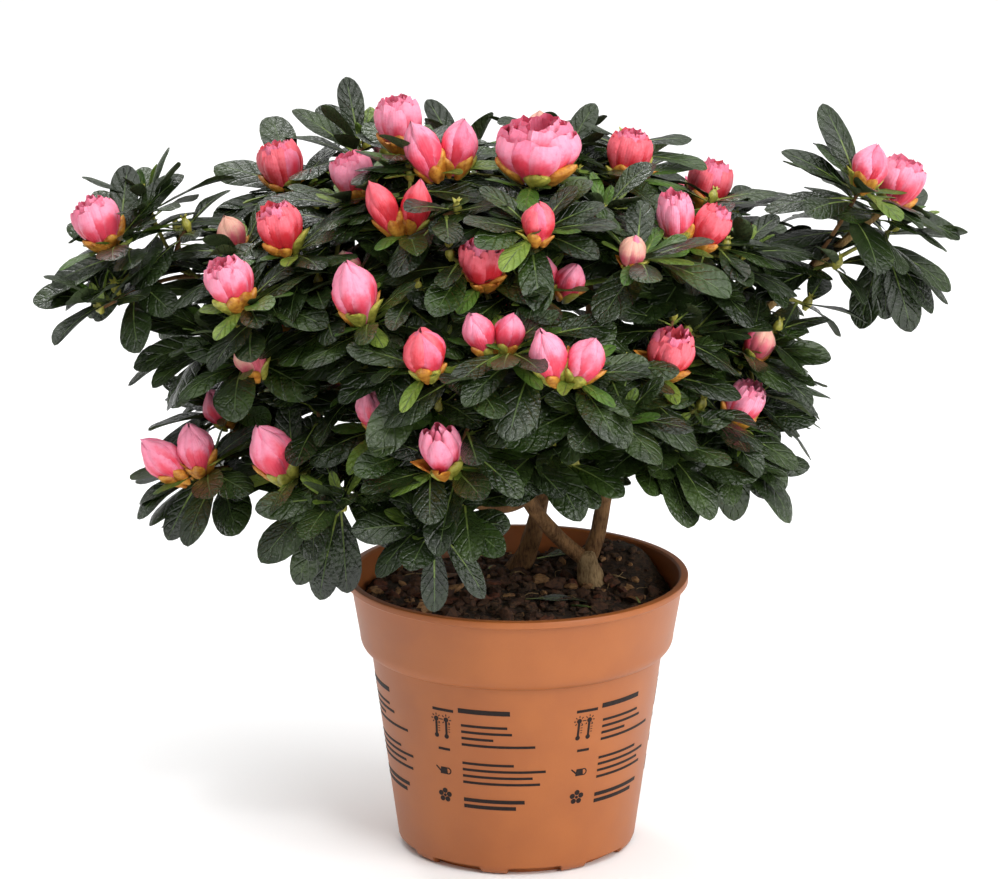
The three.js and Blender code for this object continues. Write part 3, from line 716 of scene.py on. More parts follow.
def petal_finish(name, deep, pale, blush_and_crease_shade):
    """Thin silky petal, faintly streaked, blushed in the middle, with painted crease shade that darkens its
    sides, most towards its foot.
    """
    glow = {"Subsurface Weight": 0.2, "Subsurface Radius": (0.004, 0.0015, 0.0015)}
    finish = Finish(name, shade(pale), roughness=0.45, gloss=0.35, **glow)
    half, along = finish.spots()
    lines = finish.noise(size=1.8, detail=3, roughness=0.6)
    clouds = finish.noise(size=13, detail=1)
    middle = 1 - abs(half - 0.5) * 2
    streaks = (lines * 0.8 + (1 - along) * 0.35).within(low=0.4, high=0.9)
    heart = 1 - abs(along - 0.42) * 1.9
    flush = (middle * heart + clouds * 1.2 + lines * 0.15).within(low=0.85, high=1.4) * 0.9
    # Painted shade: the sides, where petals tuck into each other, darken towards the blush colour, most near
    # the foot.
    crease_shade = (1 - (middle + lines * 0.15).within(low=0.08, high=0.32)) * (1 - along * 0.6)
    blushed = finish.mixed(flush, finish.mixed(streaks, shade(pale), shade(deep)), shade(blush_and_crease_shade))
    finish.set({"Base Color": finish.mixed(crease_shade * 0.85, blushed, shade(blush_and_crease_shade))})
    finish.bump(lines + (half * 12).wave() * 0.25, depth=0.25)
    return finish.material


def bark_finish(name, dark, light, crack):
    """Thin bark with lengthwise cracks, crack millimetres wide, and rubbed, paler ridges."""
    finish = Finish(name, shade(light), roughness=0.85, gloss=0.25)
    drawn_out = finish.stretched(sideways=1.6, upright=0.4)
    strands = finish.noise(size=crack, detail=5, roughness=0.65, where=drawn_out)
    blotches = finish.noise(size=6)
    browns = (strands * 0.7 + blotches * 0.5).within(low=0.4, high=0.75)
    finish.set({
        "Base Color": finish.mixed(browns, shade(dark), shade(light)),
        "Roughness": 0.7 + strands * 0.25,
    })
    finish.bump(strands, depth=0.5)
    return finish.material


def plain_finish(name, dark, light, roughness, grain=2.0, depth=0.2, gloss=0.5):
    """A material of two near colours in fine clouds, grain millimetres across."""
    finish = Finish(name, shade(light), roughness, gloss)
    clouds = finish.noise(size=grain, detail=4, roughness=0.6)
    finish.set({
        "Base Color": finish.mixed(clouds.within(low=0.3, high=0.7), shade(dark), shade(light)),
        "Roughness": roughness - 0.08 + clouds * 0.16,
    })
    finish.bump(clouds, depth)
    return finish.material


def plastic_finish(name, dark, light):
    """Satin moulded plastic: a very fine grain and a few faint handling marks."""
    finish = Finish(name, shade(light), roughness=0.42, gloss=0.45)
    grain = finish.noise(size=0.5, detail=3, roughness=0.6)
    marks = finish.noise(size=22, detail=4)
    wear = (marks * 0.8 + grain * 0.2).within(low=0.35, high=0.7)
    finish.set({
        "Base Color": finish.mixed(wear, shade(dark), shade(light)),
        "Roughness": 0.38 + marks * 0.08 + grain * 0.06,
    })
    finish.bump(grain * 0.6 + marks * 0.4, depth=0.05)
    return finish.material


# Each finish, under what makes it: its colours from dark to light, and what else its maker takes.
RECIPES = {
    leaf_finish: {
        "leaf_dark": ("101a08", "2b3b1b"),
        "leaf_deep": ("17240c", "3a4c23"),
        "leaf_olive": ("1f300f", "3c5220"),
        "leaf_fresh": ("36531a", "5c7f2e", 0.36, 0.45),
        "leaf_young": ("4a661c", "8c9f42", 0.42, 0.4),
        "leaf_under": ("2c3820", "4a5734", 0.6, 0.2),
    },
    # A petal's third colour is its blush, and also the painted crease shade at its sides.
    petal_finish: {
        "petal_pink": ("e55f82", "ef92ac", "e03a52"),
        "petal_rose": ("da4c6c", "e97c99", "d22c41"),
        "petal_coral": ("d8323f", "ec6a78", "c71f2c"),
        # Painted crease shade, for the tucked edges of coral petals.
        "petal_red": ("b81c2b", "dd4456", "9c1020"),
        "petal_pale": ("dd7586", "e0aa96", "d2566c"),
        # Painted crease shade, for the tucked edges of pink and pale petals.
        "petal_fold": ("cf4466", "e06a88", "b3253f"),
    },
    bark_finish: {
        "twig_olive": ("55551f", "8f8c45", 0.8),
        "twig_brown": ("4f3320", "86613c", 0.8),
        "bark_grey": ("5c452c", "ac9068", 1.4),
        "bark_tan": ("77582f", "b89a66", 1.0),
        "bark_brown": ("482f1b", "8f6a45", 1.2),
    },
    plastic_finish: {"pot_plastic": ("995527", "a25c2a")},
    plain_finish: {
        "leaf_rib": ("242e1a", "36422a", 0.5),
        "rib_green": ("384a22", "4d5f30", 0.5),
        "rib_pale": ("52662a", "718440", 0.5),
        "leaf_stalk": ("6a7d2e", "95a24c", 0.5),
        "bud_scale": ("a2591a", "d2963a", 0.42),
        "bud_scale_green": ("7f7d2b", "b6b14e", 0.42),
        "pot_ink": ("1a1210", "241916", 0.6, 1.0, 0.05, 0.2),
        "peat": ("170e07", "44301f", 0.95, 1.6, 0.8),
        "peat_crumb": ("24170d", "5a402a", 0.95, 1.2, 0.6),
        "chip_dark": ("2e1b10", "5a3a25", 0.85, 1.5, 0.4),
        "chip_tan": ("6b4a2c", "a67c50", 0.8, 1.5, 0.4),
        "chip_red": ("3f2013", "66371f", 0.8, 1.5, 0.4),
        "fibre": ("6d5437", "9b8158", 0.8, 1.0, 0.1),
        "fallen_leaf": ("5a3418", "8a5a2b", 0.7, 3.0, 0.5),
    },
}
FINISHES = {name: make(name, *values) for make, kinds in RECIPES.items() for name, values in kinds.items()}


# ---------------------------------------------------------------- leaves

LEAF_ROWS = 10
YOUNG_ROWS = 7
LEAF_COLUMNS = np.array([-1, -0.6, 0, 0, 0.6, 1])
RIB_COLUMNS = np.array([0, 0, -1, 1, 0, 0])
RIB_HALF = (0.42, 0.14)
RIB_WIDEST = 0.5
RIB_TONES = ((0.22, "leaf_stalk"), (0.5, "rib_pale"), (0.8, "rib_green"), (1, "leaf_rib"))
TIP_CROWDING = 1.6
STALK_SHARE = 0.1
STALK_HALF = 0.55
STALK_TAPER = 0.6
BLADE_RISE = 1.05
BLADE_FALL = 0.6
BLADE_PEAK = 0.3384  # about the most that rise times fall comes to
LEAF_THICKNESS = 0.45
DOME = 0.12
GROOVE = 0.22
GROOVE_FROM = 2  # the half width from which the midrib lies in a groove
LEAF_TWIST = 0.7
CUP = 0.5
CUP_BIAS = 0.62  # how far the draw favours leaves whose sides turn down
RIPPLE = 0.1
RIPPLE_TURNS = 1.4


def leaf_width(share):
    """The half width of a blade as a share of its greatest, from its stalk to its rounded tip."""
    blade = np.clip((share - STALK_SHARE) / (1 - STALK_SHARE), 0, 1)
    return blade**BLADE_RISE * (1 - blade) ** BLADE_FALL / BLADE_PEAK


def leaf_upper(share, finish):
    """The finishes of a leaf's upper faces: a pale stalk, and a midrib that fades into the blade."""
    finishes = []
    for start in share[:-1]:
        rib = next(tone for end, tone in RIB_TONES if start < end)
        blade = [finish, finish, rib, finish, finish]
        finishes += blade if start > STALK_SHARE / 2 else ["leaf_stalk"] * len(blade)
    return finishes


def add_leaf(pile, root, along, face, length, width, bend, draw, finish, rows=LEAF_ROWS):
    """One leaf: a stalk, a blade with a sunken midrib and rolled edges, bending over to its tip."""
    share = 1 - (1 - np.linspace(0, 1, rows + 1)) ** TIP_CROWDING
    half = np.maximum(width / 2 * leaf_width(share), STALK_HALF * (1 - STALK_TAPER * share))[:, None]
    side = np.cross(along, face)
    fall = bend * share
    run = length * np.sin(fall) / bend
    drop = length * (1 - np.cos(fall)) / bend
    middle = root + np.outer(run, along) - np.outer(drop, face)
    up = np.outer(np.cos(fall), face) + np.outer(np.sin(fall), along)
    twist = ((draw() - 0.5) * LEAF_TWIST * share)[:, None]
    sideways = side * np.cos(twist) + up * np.sin(twist)
    upward = up * np.cos(twist) - side * np.sin(twist)
    rib = np.minimum(blend(RIB_HALF, share)[:, None] / half, RIB_WIDEST)
    u = LEAF_COLUMNS + RIB_COLUMNS * rib
    v = share[:, None]
    cup = (draw() - CUP_BIAS) * CUP
    wave = TURN * (RIPPLE_TURNS * v + draw()) + (u > 0) * TURN * draw()
    ripple = RIPPLE * np.sin(wave) * np.abs(u) ** 3
    groove = GROOVE * (RIB_COLUMNS != 0) * (half > GROOVE_FROM)
    lift = half * (DOME * (1 - u**2) - cup * u**2 + ripple) - groove
    grid = middle[:, None] + sideways[:, None] * (half * u)[..., None] + upward[:, None] * lift[..., None]
    under = finish if finish == "leaf_young" else "leaf_under"
    add_sheet(pile, grid, LEAF_THICKNESS, leaf_upper(share, finish), under, sheet_spots(u, v))


class Tier(NamedTuple):
    """One tier of a whorl of leaves."""

    name: str
    count: int
    lengths: tuple
    angles: tuple  # from the shoot, in degrees
    back: tuple  # how far behind the shoot's tip they spring
    slim: float  # their width for their length
    bends: tuple  # how far they bend over


# From the young leaves round the bud to the old ones that hang below it. Under a bloom the young
# leaves stand out sideways.
YOUNG = Tier("young", 5, (10, 20), (16, 46), (0, 2), 0.32, (0.1, 0.5))
YOUNG_UNDER_BLOOM = YOUNG._replace(count=7, lengths=(15, 26), angles=(46, 84), back=(9, 3), slim=0.27)
TIERS = (
    Tier("upper", 6, (23, 33), (30, 76), (2, 6), 0.34, (0.15, 0.5)),
    Tier("lower", 8, (30, 41), (68, 104), (4, 17), 0.36, (0.15, 0.7)),
)
FILLER_TIERS = (Tier("lower", 6, (23, 33), (58, 108), (0, 8), 0.38, (0.15, 0.5)),)
LENGTH_PLAY = (0.94, 1.06)
WIDTH_PLAY = (0.86, 1.22)
# Where the first leaf of a mass's main whorl stands, in turns, if it is not left to the draw.
FIRST_LEAVES = {"far_left": 0.27, "far_right": 0.55}
LEAF_LEAN = 0.32  # how far a whorl leans out from the crown, and how far its leaves face outward
FACE_LEAN = 0.8
LEAF_TRIES = 7
TRY_LEAN = 0.05
TRY_TURN = 0.28

# Fans of long leaves that fill out the crown's outline, by mass: which of its shoots they spring
# from, how many they are, the directions of the first and the last as seen from the front, in
# degrees up from the right, and their length.
FANS = {
    "far_left": ((0, 6, (50, 230), 34),),
    "left_mid": ((0, 3, (160, 220), 34),),
    "lower_left": ((0, 3, (170, 235), 30),),
    "lower_left_front": ((1, 3, (235, 275), 36),),
    "top_left_back": ((0, 4, (110, 185), 38), (2, 2, (100, 140), 30)),
    "back_left_top": ((1, 2, (75, 115), 28),),
    "back_top": ((0, 2, (80, 115), 28),),
    "top_right": ((1, 2, (65, 100), 28),),
    "far_right": ((1, 3, (110, 180), 34), (0, 3, (-15, 50), 30), (2, 5, (-110, -25), 36)),
    "right": ((0, 2, (-30, 5), 30),),
    "lower_right": ((0, 4, (-85, 10), 36),),
    "front_low": ((1, 2, (270, 310), 30),),
}
FAN_OUTLOOK = vec(0, -0.6, 1)
FAN_PLAY = (0.9, 1.1)
FAN_BACK = 3
FAN_STEP = 2
FAN_LEAN = 0.25
FAN_TRY_LEAN = 0.12
FAN_BEND = 0.35
FAN_SLIM = 0.34

# What leaves keep clear of. A bloom's room is given at heights above its shoot's tip, as shares of
# its radius. A leaf is tried at shares of its length, and at a share of its width to either side.
LIMB_POINTS = 24
LIMB_ROOM = 1
BOUGH_POINTS = 14
BOUGH_END = 0.9
BOUGH_ROOM = 0.6
BLOOM_ROOM = ((1, 0.8), (5, 1.12), (10, 1.18), (15, 1.1))
TWIN_ROOM = 1.5
LEAF_POINTS = np.array([0.3, 0.45, 0.65, 0.85, 1.0])
LEAF_SIDE = 0.3


class Crowding:
    """What leaves keep out of: the wood, the blooms and the ground."""

    def __init__(self, masses):
        points, room = [], []
        for limb in LIMBS.values():
            line = limb_line(limb)
            for share in np.linspace(0, 1, LIMB_POINTS):
                points.append(line.point(share))
                room.append(limb_radius(limb, share) + LIMB_ROOM)
        for bough in BOUGHS.values():
            line = bough_line(bough)
            for share in np.linspace(0, BOUGH_END, BOUGH_POINTS):
                points.append(line.point(share))
                room.append(BOUGH_RADII[0] + BOUGH_ROOM)
        for shoot in (shoot for mass in masses for shoot in mass.shoots if shoot.bloom):
            kind = BLOOMS[shoot.bloom]
            radius = BUD_RADIUS * shoot.size * kind.radius * (TWIN_ROOM if kind.heads > 1 else 1)
            for height, share in BLOOM_ROOM:
                points.append(shoot.tip + shoot.axis * height * shoot.size * kind.length)
                room.append(radius * share)
        self.points, self.room = np.array(points), np.array(room)

    def is_free(self, root, along, face, length, width, bend, floor):
        share = LEAF_POINTS
        middle = root + np.outer(share * length, along) - np.outer(bend / 2 * share**2 * length, face)
        side = np.cross(along, face) * width * LEAF_SIDE
        spots = np.concatenate([middle, middle[1:4] + side, middle[1:4] - side])
        over_pot = np.hypot(spots[:, 0], spots[:, 1]) < RIM_RADIUS
        if (spots[:, 2] < np.where(over_pot, max(floor, OPEN_UNDER), floor)).any():
            return False
        gaps = np.linalg.norm(spots[:, None] - self.points[None], axis=2)
        return bool((gaps > self.room[None]).all())


def add_whorl(pile, shoot, tiers, crowding, draw, tone, floor, first=None):
    """The leaves round a shoot's tip, each turned on from the last by the golden angle."""
    start = (draw() if first is None else first) * TURN
    turn = 0
    outward = unit(shoot.tip - HEART)
    for tier in tiers:
        young = tier.name == "young"
        upright = shoot.axis if young else unit(outward * LEAF_LEAN + UP)
        outlook = shoot.axis if young else unit(outward * FACE_LEAN + UP)
        for i in range(tier.count):
            turn += 1
            share = (i + draw()) / tier.count
            length = blend(tier.lengths, share) * blend(LENGTH_PLAY, draw())
            width = length * tier.slim * blend(WIDTH_PLAY, draw())
            bend = blend(tier.bends, draw())
            lean = math.radians(blend(tier.angles, share))
            root = shoot.behind(blend(tier.back, share))
            finish = leaf_tone(tone, tier.name, draw())
            for attempt in range(LEAF_TRIES):
                nudge = attempt if attempt % 2 else -attempt
                around = start + turn * GOLDEN_ANGLE + TRY_TURN * nudge
                along = tilted(upright, lean + TRY_LEAN * nudge, around)
                face = across(outlook, along)
                if young or crowding.is_free(root, along, face, length, width, bend, floor):
                    rows = YOUNG_ROWS if young else LEAF_ROWS
                    add_leaf(pile, root, along, face, length, width, bend, draw, finish, rows)
                    break


def add_fan(pile, shoot, count, ends, length, crowding, draw, tone):
    """Long leaves spread evenly between two directions, those that rise leaning to the back."""
    for i in range(count):
        turn = math.radians(blend(ends, i / (count - 1)))
        root = shoot.behind(FAN_BACK + FAN_STEP * i)
        long = length * blend(FAN_PLAY, draw())
        finish = leaf_tone(tone, "lower", draw())
        for attempt in range(LEAF_TRIES):
            lean = FAN_LEAN * math.sin(turn) + FAN_TRY_LEAN * attempt
            along = unit(vec(math.cos(turn), lean, math.sin(turn)))
            face = across(FAN_OUTLOOK, along)
            if crowding.is_free(root, along, face, long, long * FAN_SLIM, FAN_BEND, FOLIAGE_FLOOR):
                add_leaf(pile, root, along, face, long, long * FAN_SLIM, FAN_BEND, draw, finish)
                break


# The shares of leaves that differ from their spray's green, or from the young leaves' first one.
YOUNG_SHARE = 0.55
FRESH_SHARE = 0.07
OLIVE_SHARES = {"upper": 0.3, "lower": 0.1}
OTHER_GREEN_FROM = 0.7


def leaf_tone(tone, tier, pick):
    """The finish of a leaf: a spray is mostly of one green, and its younger leaves are fresher."""
    if tier == "young":
        return "leaf_young" if pick < YOUNG_SHARE else "leaf_fresh"
    if pick < OLIVE_SHARES[tier]:
        return "leaf_fresh" if tier == "upper" and pick < FRESH_SHARE else "leaf_olive"
    if pick > OTHER_GREEN_FROM:
        return "leaf_deep" if tone == "leaf_dark" else "leaf_dark"
    return tone


# ---------------------------------------------------------------- blooms

PETAL_ROWS = 8
PETAL_STEPS = np.array([-1, -0.9, -0.68, -0.4, -0.13, 0.13, 0.4, 0.68, 0.9, 1])
PETAL_THICKNESS = 0.35
PETAL_CROWDING = 0.85
NARROWS_FROM = 0.5
NARROWING = 1.8
CLOSING = 2.2
CLAW = 0.5
BELL_FOOT = 0.32
BELL_TOP = 0.74
SWIRL = 0.2
BELLY = 0.36
TUCK = 0.1
OVERLAP = 0.05
ROUNDING = 0.12
RUFFLED_FROM = 0.45
RUFFLE_PLAY = (0.6, 1.4)
RUFFLE_OUT = 0.4
RUFFLE_OUT_WAVES = 9
RUFFLE_UP = 0.22
RUFFLE_UP_WAVES = 7
CREASE_SHADE_FROM = 0.84  # how far out a petal takes the darker finish of its tucked edges, painted crease shade, one a little wider
CREASE_SHADE_SHIFT = 0.05
THINNEST = 0.15


class Layer(NamedTuple):
    """A ring of like petals. Radius and height are shares of the whole bloom's."""

    petals: int
    radius: float
    height: float
    wide: float  # half a petal's width, in turns
    taper: float  # how much it narrows to its edge
    close: float  # how far that edge closes in
    ruffle: float


# How blooms are layered, from the outside in.
HALF_OPEN = (
    Layer(5, 0.83, 0.86, 0.118, 0.08, 0.2, 0.08),
    Layer(5, 0.76, 0.94, 0.12, 0.06, 0.28, 0.1),
    Layer(5, 0.6, 0.98, 0.13, 0.05, 0.28, 0.12),
    Layer(3, 0.38, 1.0, 0.18, 0.05, 0.3, 0.14),
)
FULL = (
    Layer(5, 0.88, 0.84, 0.118, 0.08, 0.16, 0.07),
    Layer(5, 0.81, 0.92, 0.12, 0.06, 0.22, 0.09),
    Layer(5, 0.66, 0.99, 0.13, 0.05, 0.22, 0.12),
    Layer(4, 0.44, 1.03, 0.16, 0.05, 0.25, 0.14),
)
CLOSED = (
    Layer(4, 0.9, 0.92, 0.135, 0, 0.86, 0.02),
    Layer(4, 0.82, 1.0, 0.135, 0, 0.93, 0.02),
    Layer(2, 0.55, 0.98, 0.25, 0, 0.9, 0.02),
)
TULIP = (
    Layer(3, 0.8, 0.92, 0.16, 0.6, 0.3, 0.03),
    Layer(3, 0.68, 1.0, 0.17, 0.55, 0.5, 0.04),
    Layer(3, 0.42, 1.02, 0.2, 0.4, 0.8, 0.04),
)


class Kind(NamedTuple):
    """A kind of bloom. Length and radius are shares of a plain bud's."""

    layers: tuple
    tints: str
    length: float
    radius: float
    heads: int = 1
    second_tints: str = None


BLOOMS = {
    "pink": Kind(HALF_OPEN, "pink", 0.92, 0.94),
    "pair": Kind(HALF_OPEN, "pink", 0.9, 0.72, 2, "coral"),
    "small_bud": Kind(CLOSED, "pink", 0.9, 0.66),
    "split": Kind(CLOSED, "coral", 1.0, 0.56, 2),
    "full": Kind(FULL, "pink", 1.02, 1.55),
    "coral": Kind(HALF_OPEN, "coral", 0.88, 0.9),
    "pink_bud": Kind(CLOSED, "pink", 1.0, 0.85),
    "long_bud": Kind(CLOSED, "pink", 1.2, 0.84),
    "coral_bud": Kind(CLOSED, "coral", 0.95, 0.8),
    "double": Kind(CLOSED, "pink", 1.0, 0.7, 2),
    "tulip": Kind(TULIP, "pink", 1.02, 0.86),
    "small_open": Kind(HALF_OPEN, "pink", 0.86, 0.74),
    "green": Kind(CLOSED, "green", 0.72, 0.58),
}
# The finishes of petals from the outside in: of their faces, and of their tucked edges, which are darker as
# painted crease shade.
TINTS = {
    "pink": (("petal_pink", "petal_fold"), ("petal_pink", "petal_fold"), ("petal_rose", "petal_fold")),
    "coral": (("petal_coral", "petal_red"), ("petal_coral", "petal_red"), ("petal_rose", "petal_red")),
    "green": (("petal_pale", "petal_fold"), ("petal_pale", "petal_fold"), ("petal_rose", "petal_fold")),
}
OWN_TINT_SHARE = 0.75
PETAL_PLAY = (0.93, 1.03)
SPIN_SCATTER = 0.15
TWIN_LEAN = 0.3
TWIN_APART = 0.55
TWIN_SWING = 0.6
TWIN_LENGTHS = 0.06

# The scales that clasp a bloom, and those of a shoot's leaf bud.
SCALES = 6
SCALE_DROP = 1.2
SCALE_RADII = (1.0, 1.06)
SCALE_HEIGHTS = (0.3, 0.54)
SCALE_WIDTHS = (0.1, 0.13)
SCALE_TAPER = 0.9
SCALE_CLOSE = 0.12
SCALE_SPRUNG = 0.5  # how far a few of them stand off
BROWN_SHARE = 0.65
LEAF_BUD_SCALES = 4
LEAF_BUD_LENGTH = 7
LEAF_BUD_WIDTH = 3.4
LEAF_BUD_SUNK = 2
LEAF_BUD_ANGLES = (8, 18)
BUD_SCALE_ROWS = 5
BUD_SCALE_COLUMNS = 3
BUD_SCALE_WIDEST = 0.45
BUD_SCALE_FADE = 0.6
BUD_SCALE_POINT = 0.8
BUD_SCALE_BOW = 0.22
BUD_SCALE_CUP = 0.45


def petal_width(share, taper):
    """The half width of a petal as a share of its greatest, from its claw to its edge."""
    fall = np.clip((share - NARROWS_FROM) / (1 - NARROWS_FROM), 0, 1)
    return blend((CLAW, 1), eased(share / NARROWS_FROM)) * (1 - taper * fall**NARROWING)


def bell(share):
    """How far a petal stands out from the bloom's axis, as a share of the layer's radius."""
    return blend((BELL_FOOT, 1), eased(share / BELL_TOP))


def add_petal(pile, base, axes, layer, spin, length, radius, tint, draw):
    """A cupped petal: its face swells, its sides tuck in, and its edge is rounded and ruffled."""
    side, over, axis = axes
    v = np.linspace(0, 1, PETAL_ROWS + 1)[:, None] ** PETAL_CROWDING
    u = PETAL_STEPS[None, :]
    angle = spin + u * layer.wide * TURN * petal_width(v, layer.taper) + SWIRL * v
    past = np.clip((v - RUFFLED_FROM) / (1 - RUFFLED_FROM), 0, 1)
    phase = draw() * TURN
    frill = layer.ruffle * blend(RUFFLE_PLAY, draw()) * past**2
    swell = 1 + BELLY * (1 - u**2) - TUCK * u**4 * (1 - past)
    out = (bell(v * layer.height) + OVERLAP * u) * swell * (1 - layer.close * past**CLOSING)
    out = out + frill * (np.sin(u * RUFFLE_OUT_WAVES + phase) + RUFFLE_OUT)
    reach = np.maximum(radius * layer.radius * out, THINNEST)
    crest = v - ROUNDING * np.abs(u) ** 3 * v**2
    crest = layer.height * crest + RUFFLE_UP * frill * np.sin(u * RUFFLE_UP_WAVES + phase * 2)
    around = (np.cos(angle) * reach)[..., None] * side + (np.sin(angle) * reach)[..., None] * over
    grid = base + around + (length * crest)[..., None] * axis
    face, crease_shade = tint
    # The outer columns take the darker finish: painted shade in the creases between petals.
    columns = [crease_shade if abs(u + CREASE_SHADE_SHIFT) > CREASE_SHADE_FROM else face for u in PETAL_STEPS[-2::-1]]
    add_sheet(pile, grid[:, ::-1], PETAL_THICKNESS, columns * PETAL_ROWS, face, sheet_spots(u, v)[:, ::-1])


def add_head(pile, scales, kind, base, axis, length, radius, draw):
    """One double flower: petals in layers, clasped by pointed scales."""
    side = across(vec(1, 0, 0), axis)
    axes = side, np.cross(axis, side), axis
    start = draw() * TURN
    tints = TINTS[kind.tints]
    for depth, layer in enumerate(kind.layers):
        for i in range(layer.petals):
            place = i + 0.5 * (depth % 2) + SPIN_SCATTER * (draw() - 0.5)
            spin = start + place / layer.petals * TURN
            own = draw() < OWN_TINT_SHARE
            tint = tints[min(depth, len(tints) - 1) if own else int(draw() * len(tints))]
            add_petal(pile, base, axes, layer, spin, length * blend(PETAL_PLAY, draw()), radius, tint, draw)
    for i in range(SCALES):
        sizes = [blend(ends, draw()) for ends in (SCALE_RADII, SCALE_HEIGHTS, SCALE_WIDTHS)]
        layer = Layer(1, *sizes, SCALE_TAPER, SCALE_CLOSE - SCALE_SPRUNG * draw() ** 3, 0)
        finish = "bud_scale" if draw() < BROWN_SHARE else "bud_scale_green"
        foot = base - axis * SCALE_DROP
        spin = start + i * GOLDEN_ANGLE
        add_petal(scales, foot, axes, layer, spin, length, radius, (finish, finish), draw)


def add_bloom(pile, scales, shoot, draw):
    """The bloom at a shoot's tip: one head, or two that stand side by side."""
    kind = BLOOMS[shoot.bloom]
    length = BUD_LENGTH * shoot.size * kind.length
    radius = BUD_RADIUS * shoot.size * kind.radius
    base = shoot.tip + shoot.axis * TIP_ROOT * 0.5
    if kind.heads == 1:
        add_head(pile, scales, kind, base, shoot.axis, length, radius, draw)
        return
    apart = across(tilted(UP, TURN / 4, TWIN_SWING * (draw() - 0.5)), shoot.axis)
    twin = kind._replace(tints=kind.second_tints or kind.tints)
    for way, one in ((-1, kind), (1, twin)):
        axis = unit(shoot.axis + apart * way * TWIN_LEAN)
        foot = base + apart * way * radius * TWIN_APART
        add_head(pile, scales, one, foot, axis, length * (1 - TWIN_LENGTHS * way), radius, draw)


def add_scale(pile, root, along, face, length, width, finish):
    """A small pointed bud scale that hugs what it covers."""
    v = np.linspace(0, 1, BUD_SCALE_ROWS + 1)[:, None]
    u = np.linspace(-1, 1, BUD_SCALE_COLUMNS + 1)[None, :]
    fall = 1 - np.clip(v - BUD_SCALE_WIDEST, 0, 1) / BUD_SCALE_FADE
    half = width / 4 * (1 + eased(v / BUD_SCALE_WIDEST)) * fall**BUD_SCALE_POINT
    bow = length * BUD_SCALE_BOW * np.sin(v * math.pi) + half * BUD_SCALE_CUP * (1 - u**2)
    sideways = (u * half)[..., None] * np.cross(along, face)
    grid = root + (v * length)[..., None] * along + sideways - bow[..., None] * face
    upper = [finish] * (BUD_SCALE_ROWS * BUD_SCALE_COLUMNS)
    add_sheet(pile, grid, PETAL_THICKNESS, upper, finish, sheet_spots(u, v))


def add_leaf_bud(pile, shoot, draw):
    """The small pointed bud that ends a shoot without bloom."""
    root = shoot.tip - shoot.axis * LEAF_BUD_SUNK
    for i in range(LEAF_BUD_SCALES):
        angle = math.radians(blend(LEAF_BUD_ANGLES, draw()))
        along = tilted(shoot.axis, angle, i * GOLDEN_ANGLE)
        inward = -across(shoot.axis, along)
        add_scale(pile, root, along, inward, LEAF_BUD_LENGTH, LEAF_BUD_WIDTH, "bud_scale_green")


# ---------------------------------------------------------------- growing the foliage

PIECE_KINDS = ("leaves", "twigs", "blooms")
PIECE_FILL = 162_000  # the triangles at which the next mass starts a new set of pieces
DARK_SHARE = 0.6
TWIG_RINGS = 11
TWIG_SIDES = 7
TWIG_KNOBS = (0.94, 1.06)
TWIG_OVERLAP = 2.0
OLIVE_TWIG_SHARE = 0.75

# Finer twigs between the main shoots: how many to a mass, how far up its stem they fork, their
# angle from it, their length, how much they rise, how soon they turn, and their leaf buds' size.
FILLERS = 3
FILLER_FORKS = (0.35, 0.75)
FILLER_ANGLES = (48, 72)
FILLER_SPIN_PLAY = 0.3
FILLER_LENGTHS = (15, 24)
FILLER_RISE = 3
FILLER_BEND = 0.4
FILLER_SIZE = 0.8
FILLER_OVERLAP = 0.5


def add_twig(pile, shoot, draw, overlap=TWIG_OVERLAP):
    """A knobbly twig that starts overlap millimetres inside what carries it."""
    shares = np.linspace(0, 1, TWIG_RINGS)
    points = [shoot.line.point(share) for share in shares]
    points[0] = points[0] - shoot.line.tangent(0) * overlap
    radii = [blend(shoot.radii, share) for share in shares]
    finish = "twig_olive" if draw() < OLIVE_TWIG_SHARE else "twig_brown"
    if shoot.radii[0] > SPRAY_RADII[0]:
        finish = "bark_tan"
    knobs = [[blend(TWIG_KNOBS, draw()) for _ in range(TWIG_SIDES)] for _ in shares]
    add_tube(pile, points, radii, TWIG_SIDES, finish, np.array(knobs))


def filler_shoots(mass, draw):
    """Finer twigs with no bloom, that stay back from the crown's outline."""
    found = []
    for i in range(FILLERS):
        fork = blend(FILLER_FORKS, draw())
        root = mass.stem.point(fork)
        ahead = mass.stem.tangent(fork)
        angle = math.radians(blend(FILLER_ANGLES, draw()))
        along = tilted(ahead, angle, (i / FILLERS + FILLER_SPIN_PLAY * draw()) * TURN)
        end = root + along * blend(FILLER_LENGTHS, draw()) + UP * FILLER_RISE
        found.append(Shoot(bent(root, ahead, end, FILLER_BEND), TWIG_RADII, None, FILLER_SIZE))
    return found


def grow_mass(mass, leaves, twigs, blooms, crowding, draw):
    tone = "leaf_dark" if draw() < DARK_SHARE else "leaf_deep"
    floor = MASS_FLOORS.get(mass.name, FOLIAGE_FLOOR)
    first = FIRST_LEAVES.get(mass.name)
    for shoot in mass.shoots:
        add_twig(twigs, shoot, draw)
        young = YOUNG_UNDER_BLOOM if shoot.bloom else YOUNG
        add_whorl(leaves, shoot, (young, *TIERS), crowding, draw, tone, floor, first)
        first = None
        if shoot.bloom:
            add_bloom(blooms, twigs, shoot, draw)
        else:
            add_leaf_bud(twigs, shoot, draw)
    for place, count, ends, length in FANS.get(mass.name, ()):
        add_fan(leaves, mass.shoots[place], count, ends, length, crowding, draw, tone)
    for shoot in filler_shoots(mass, draw):
        add_twig(twigs, shoot, draw, FILLER_OVERLAP)
        add_whorl(leaves, shoot, FILLER_TIERS, crowding, draw, "leaf_dark", floor)
        add_leaf_bud(twigs, shoot, draw)


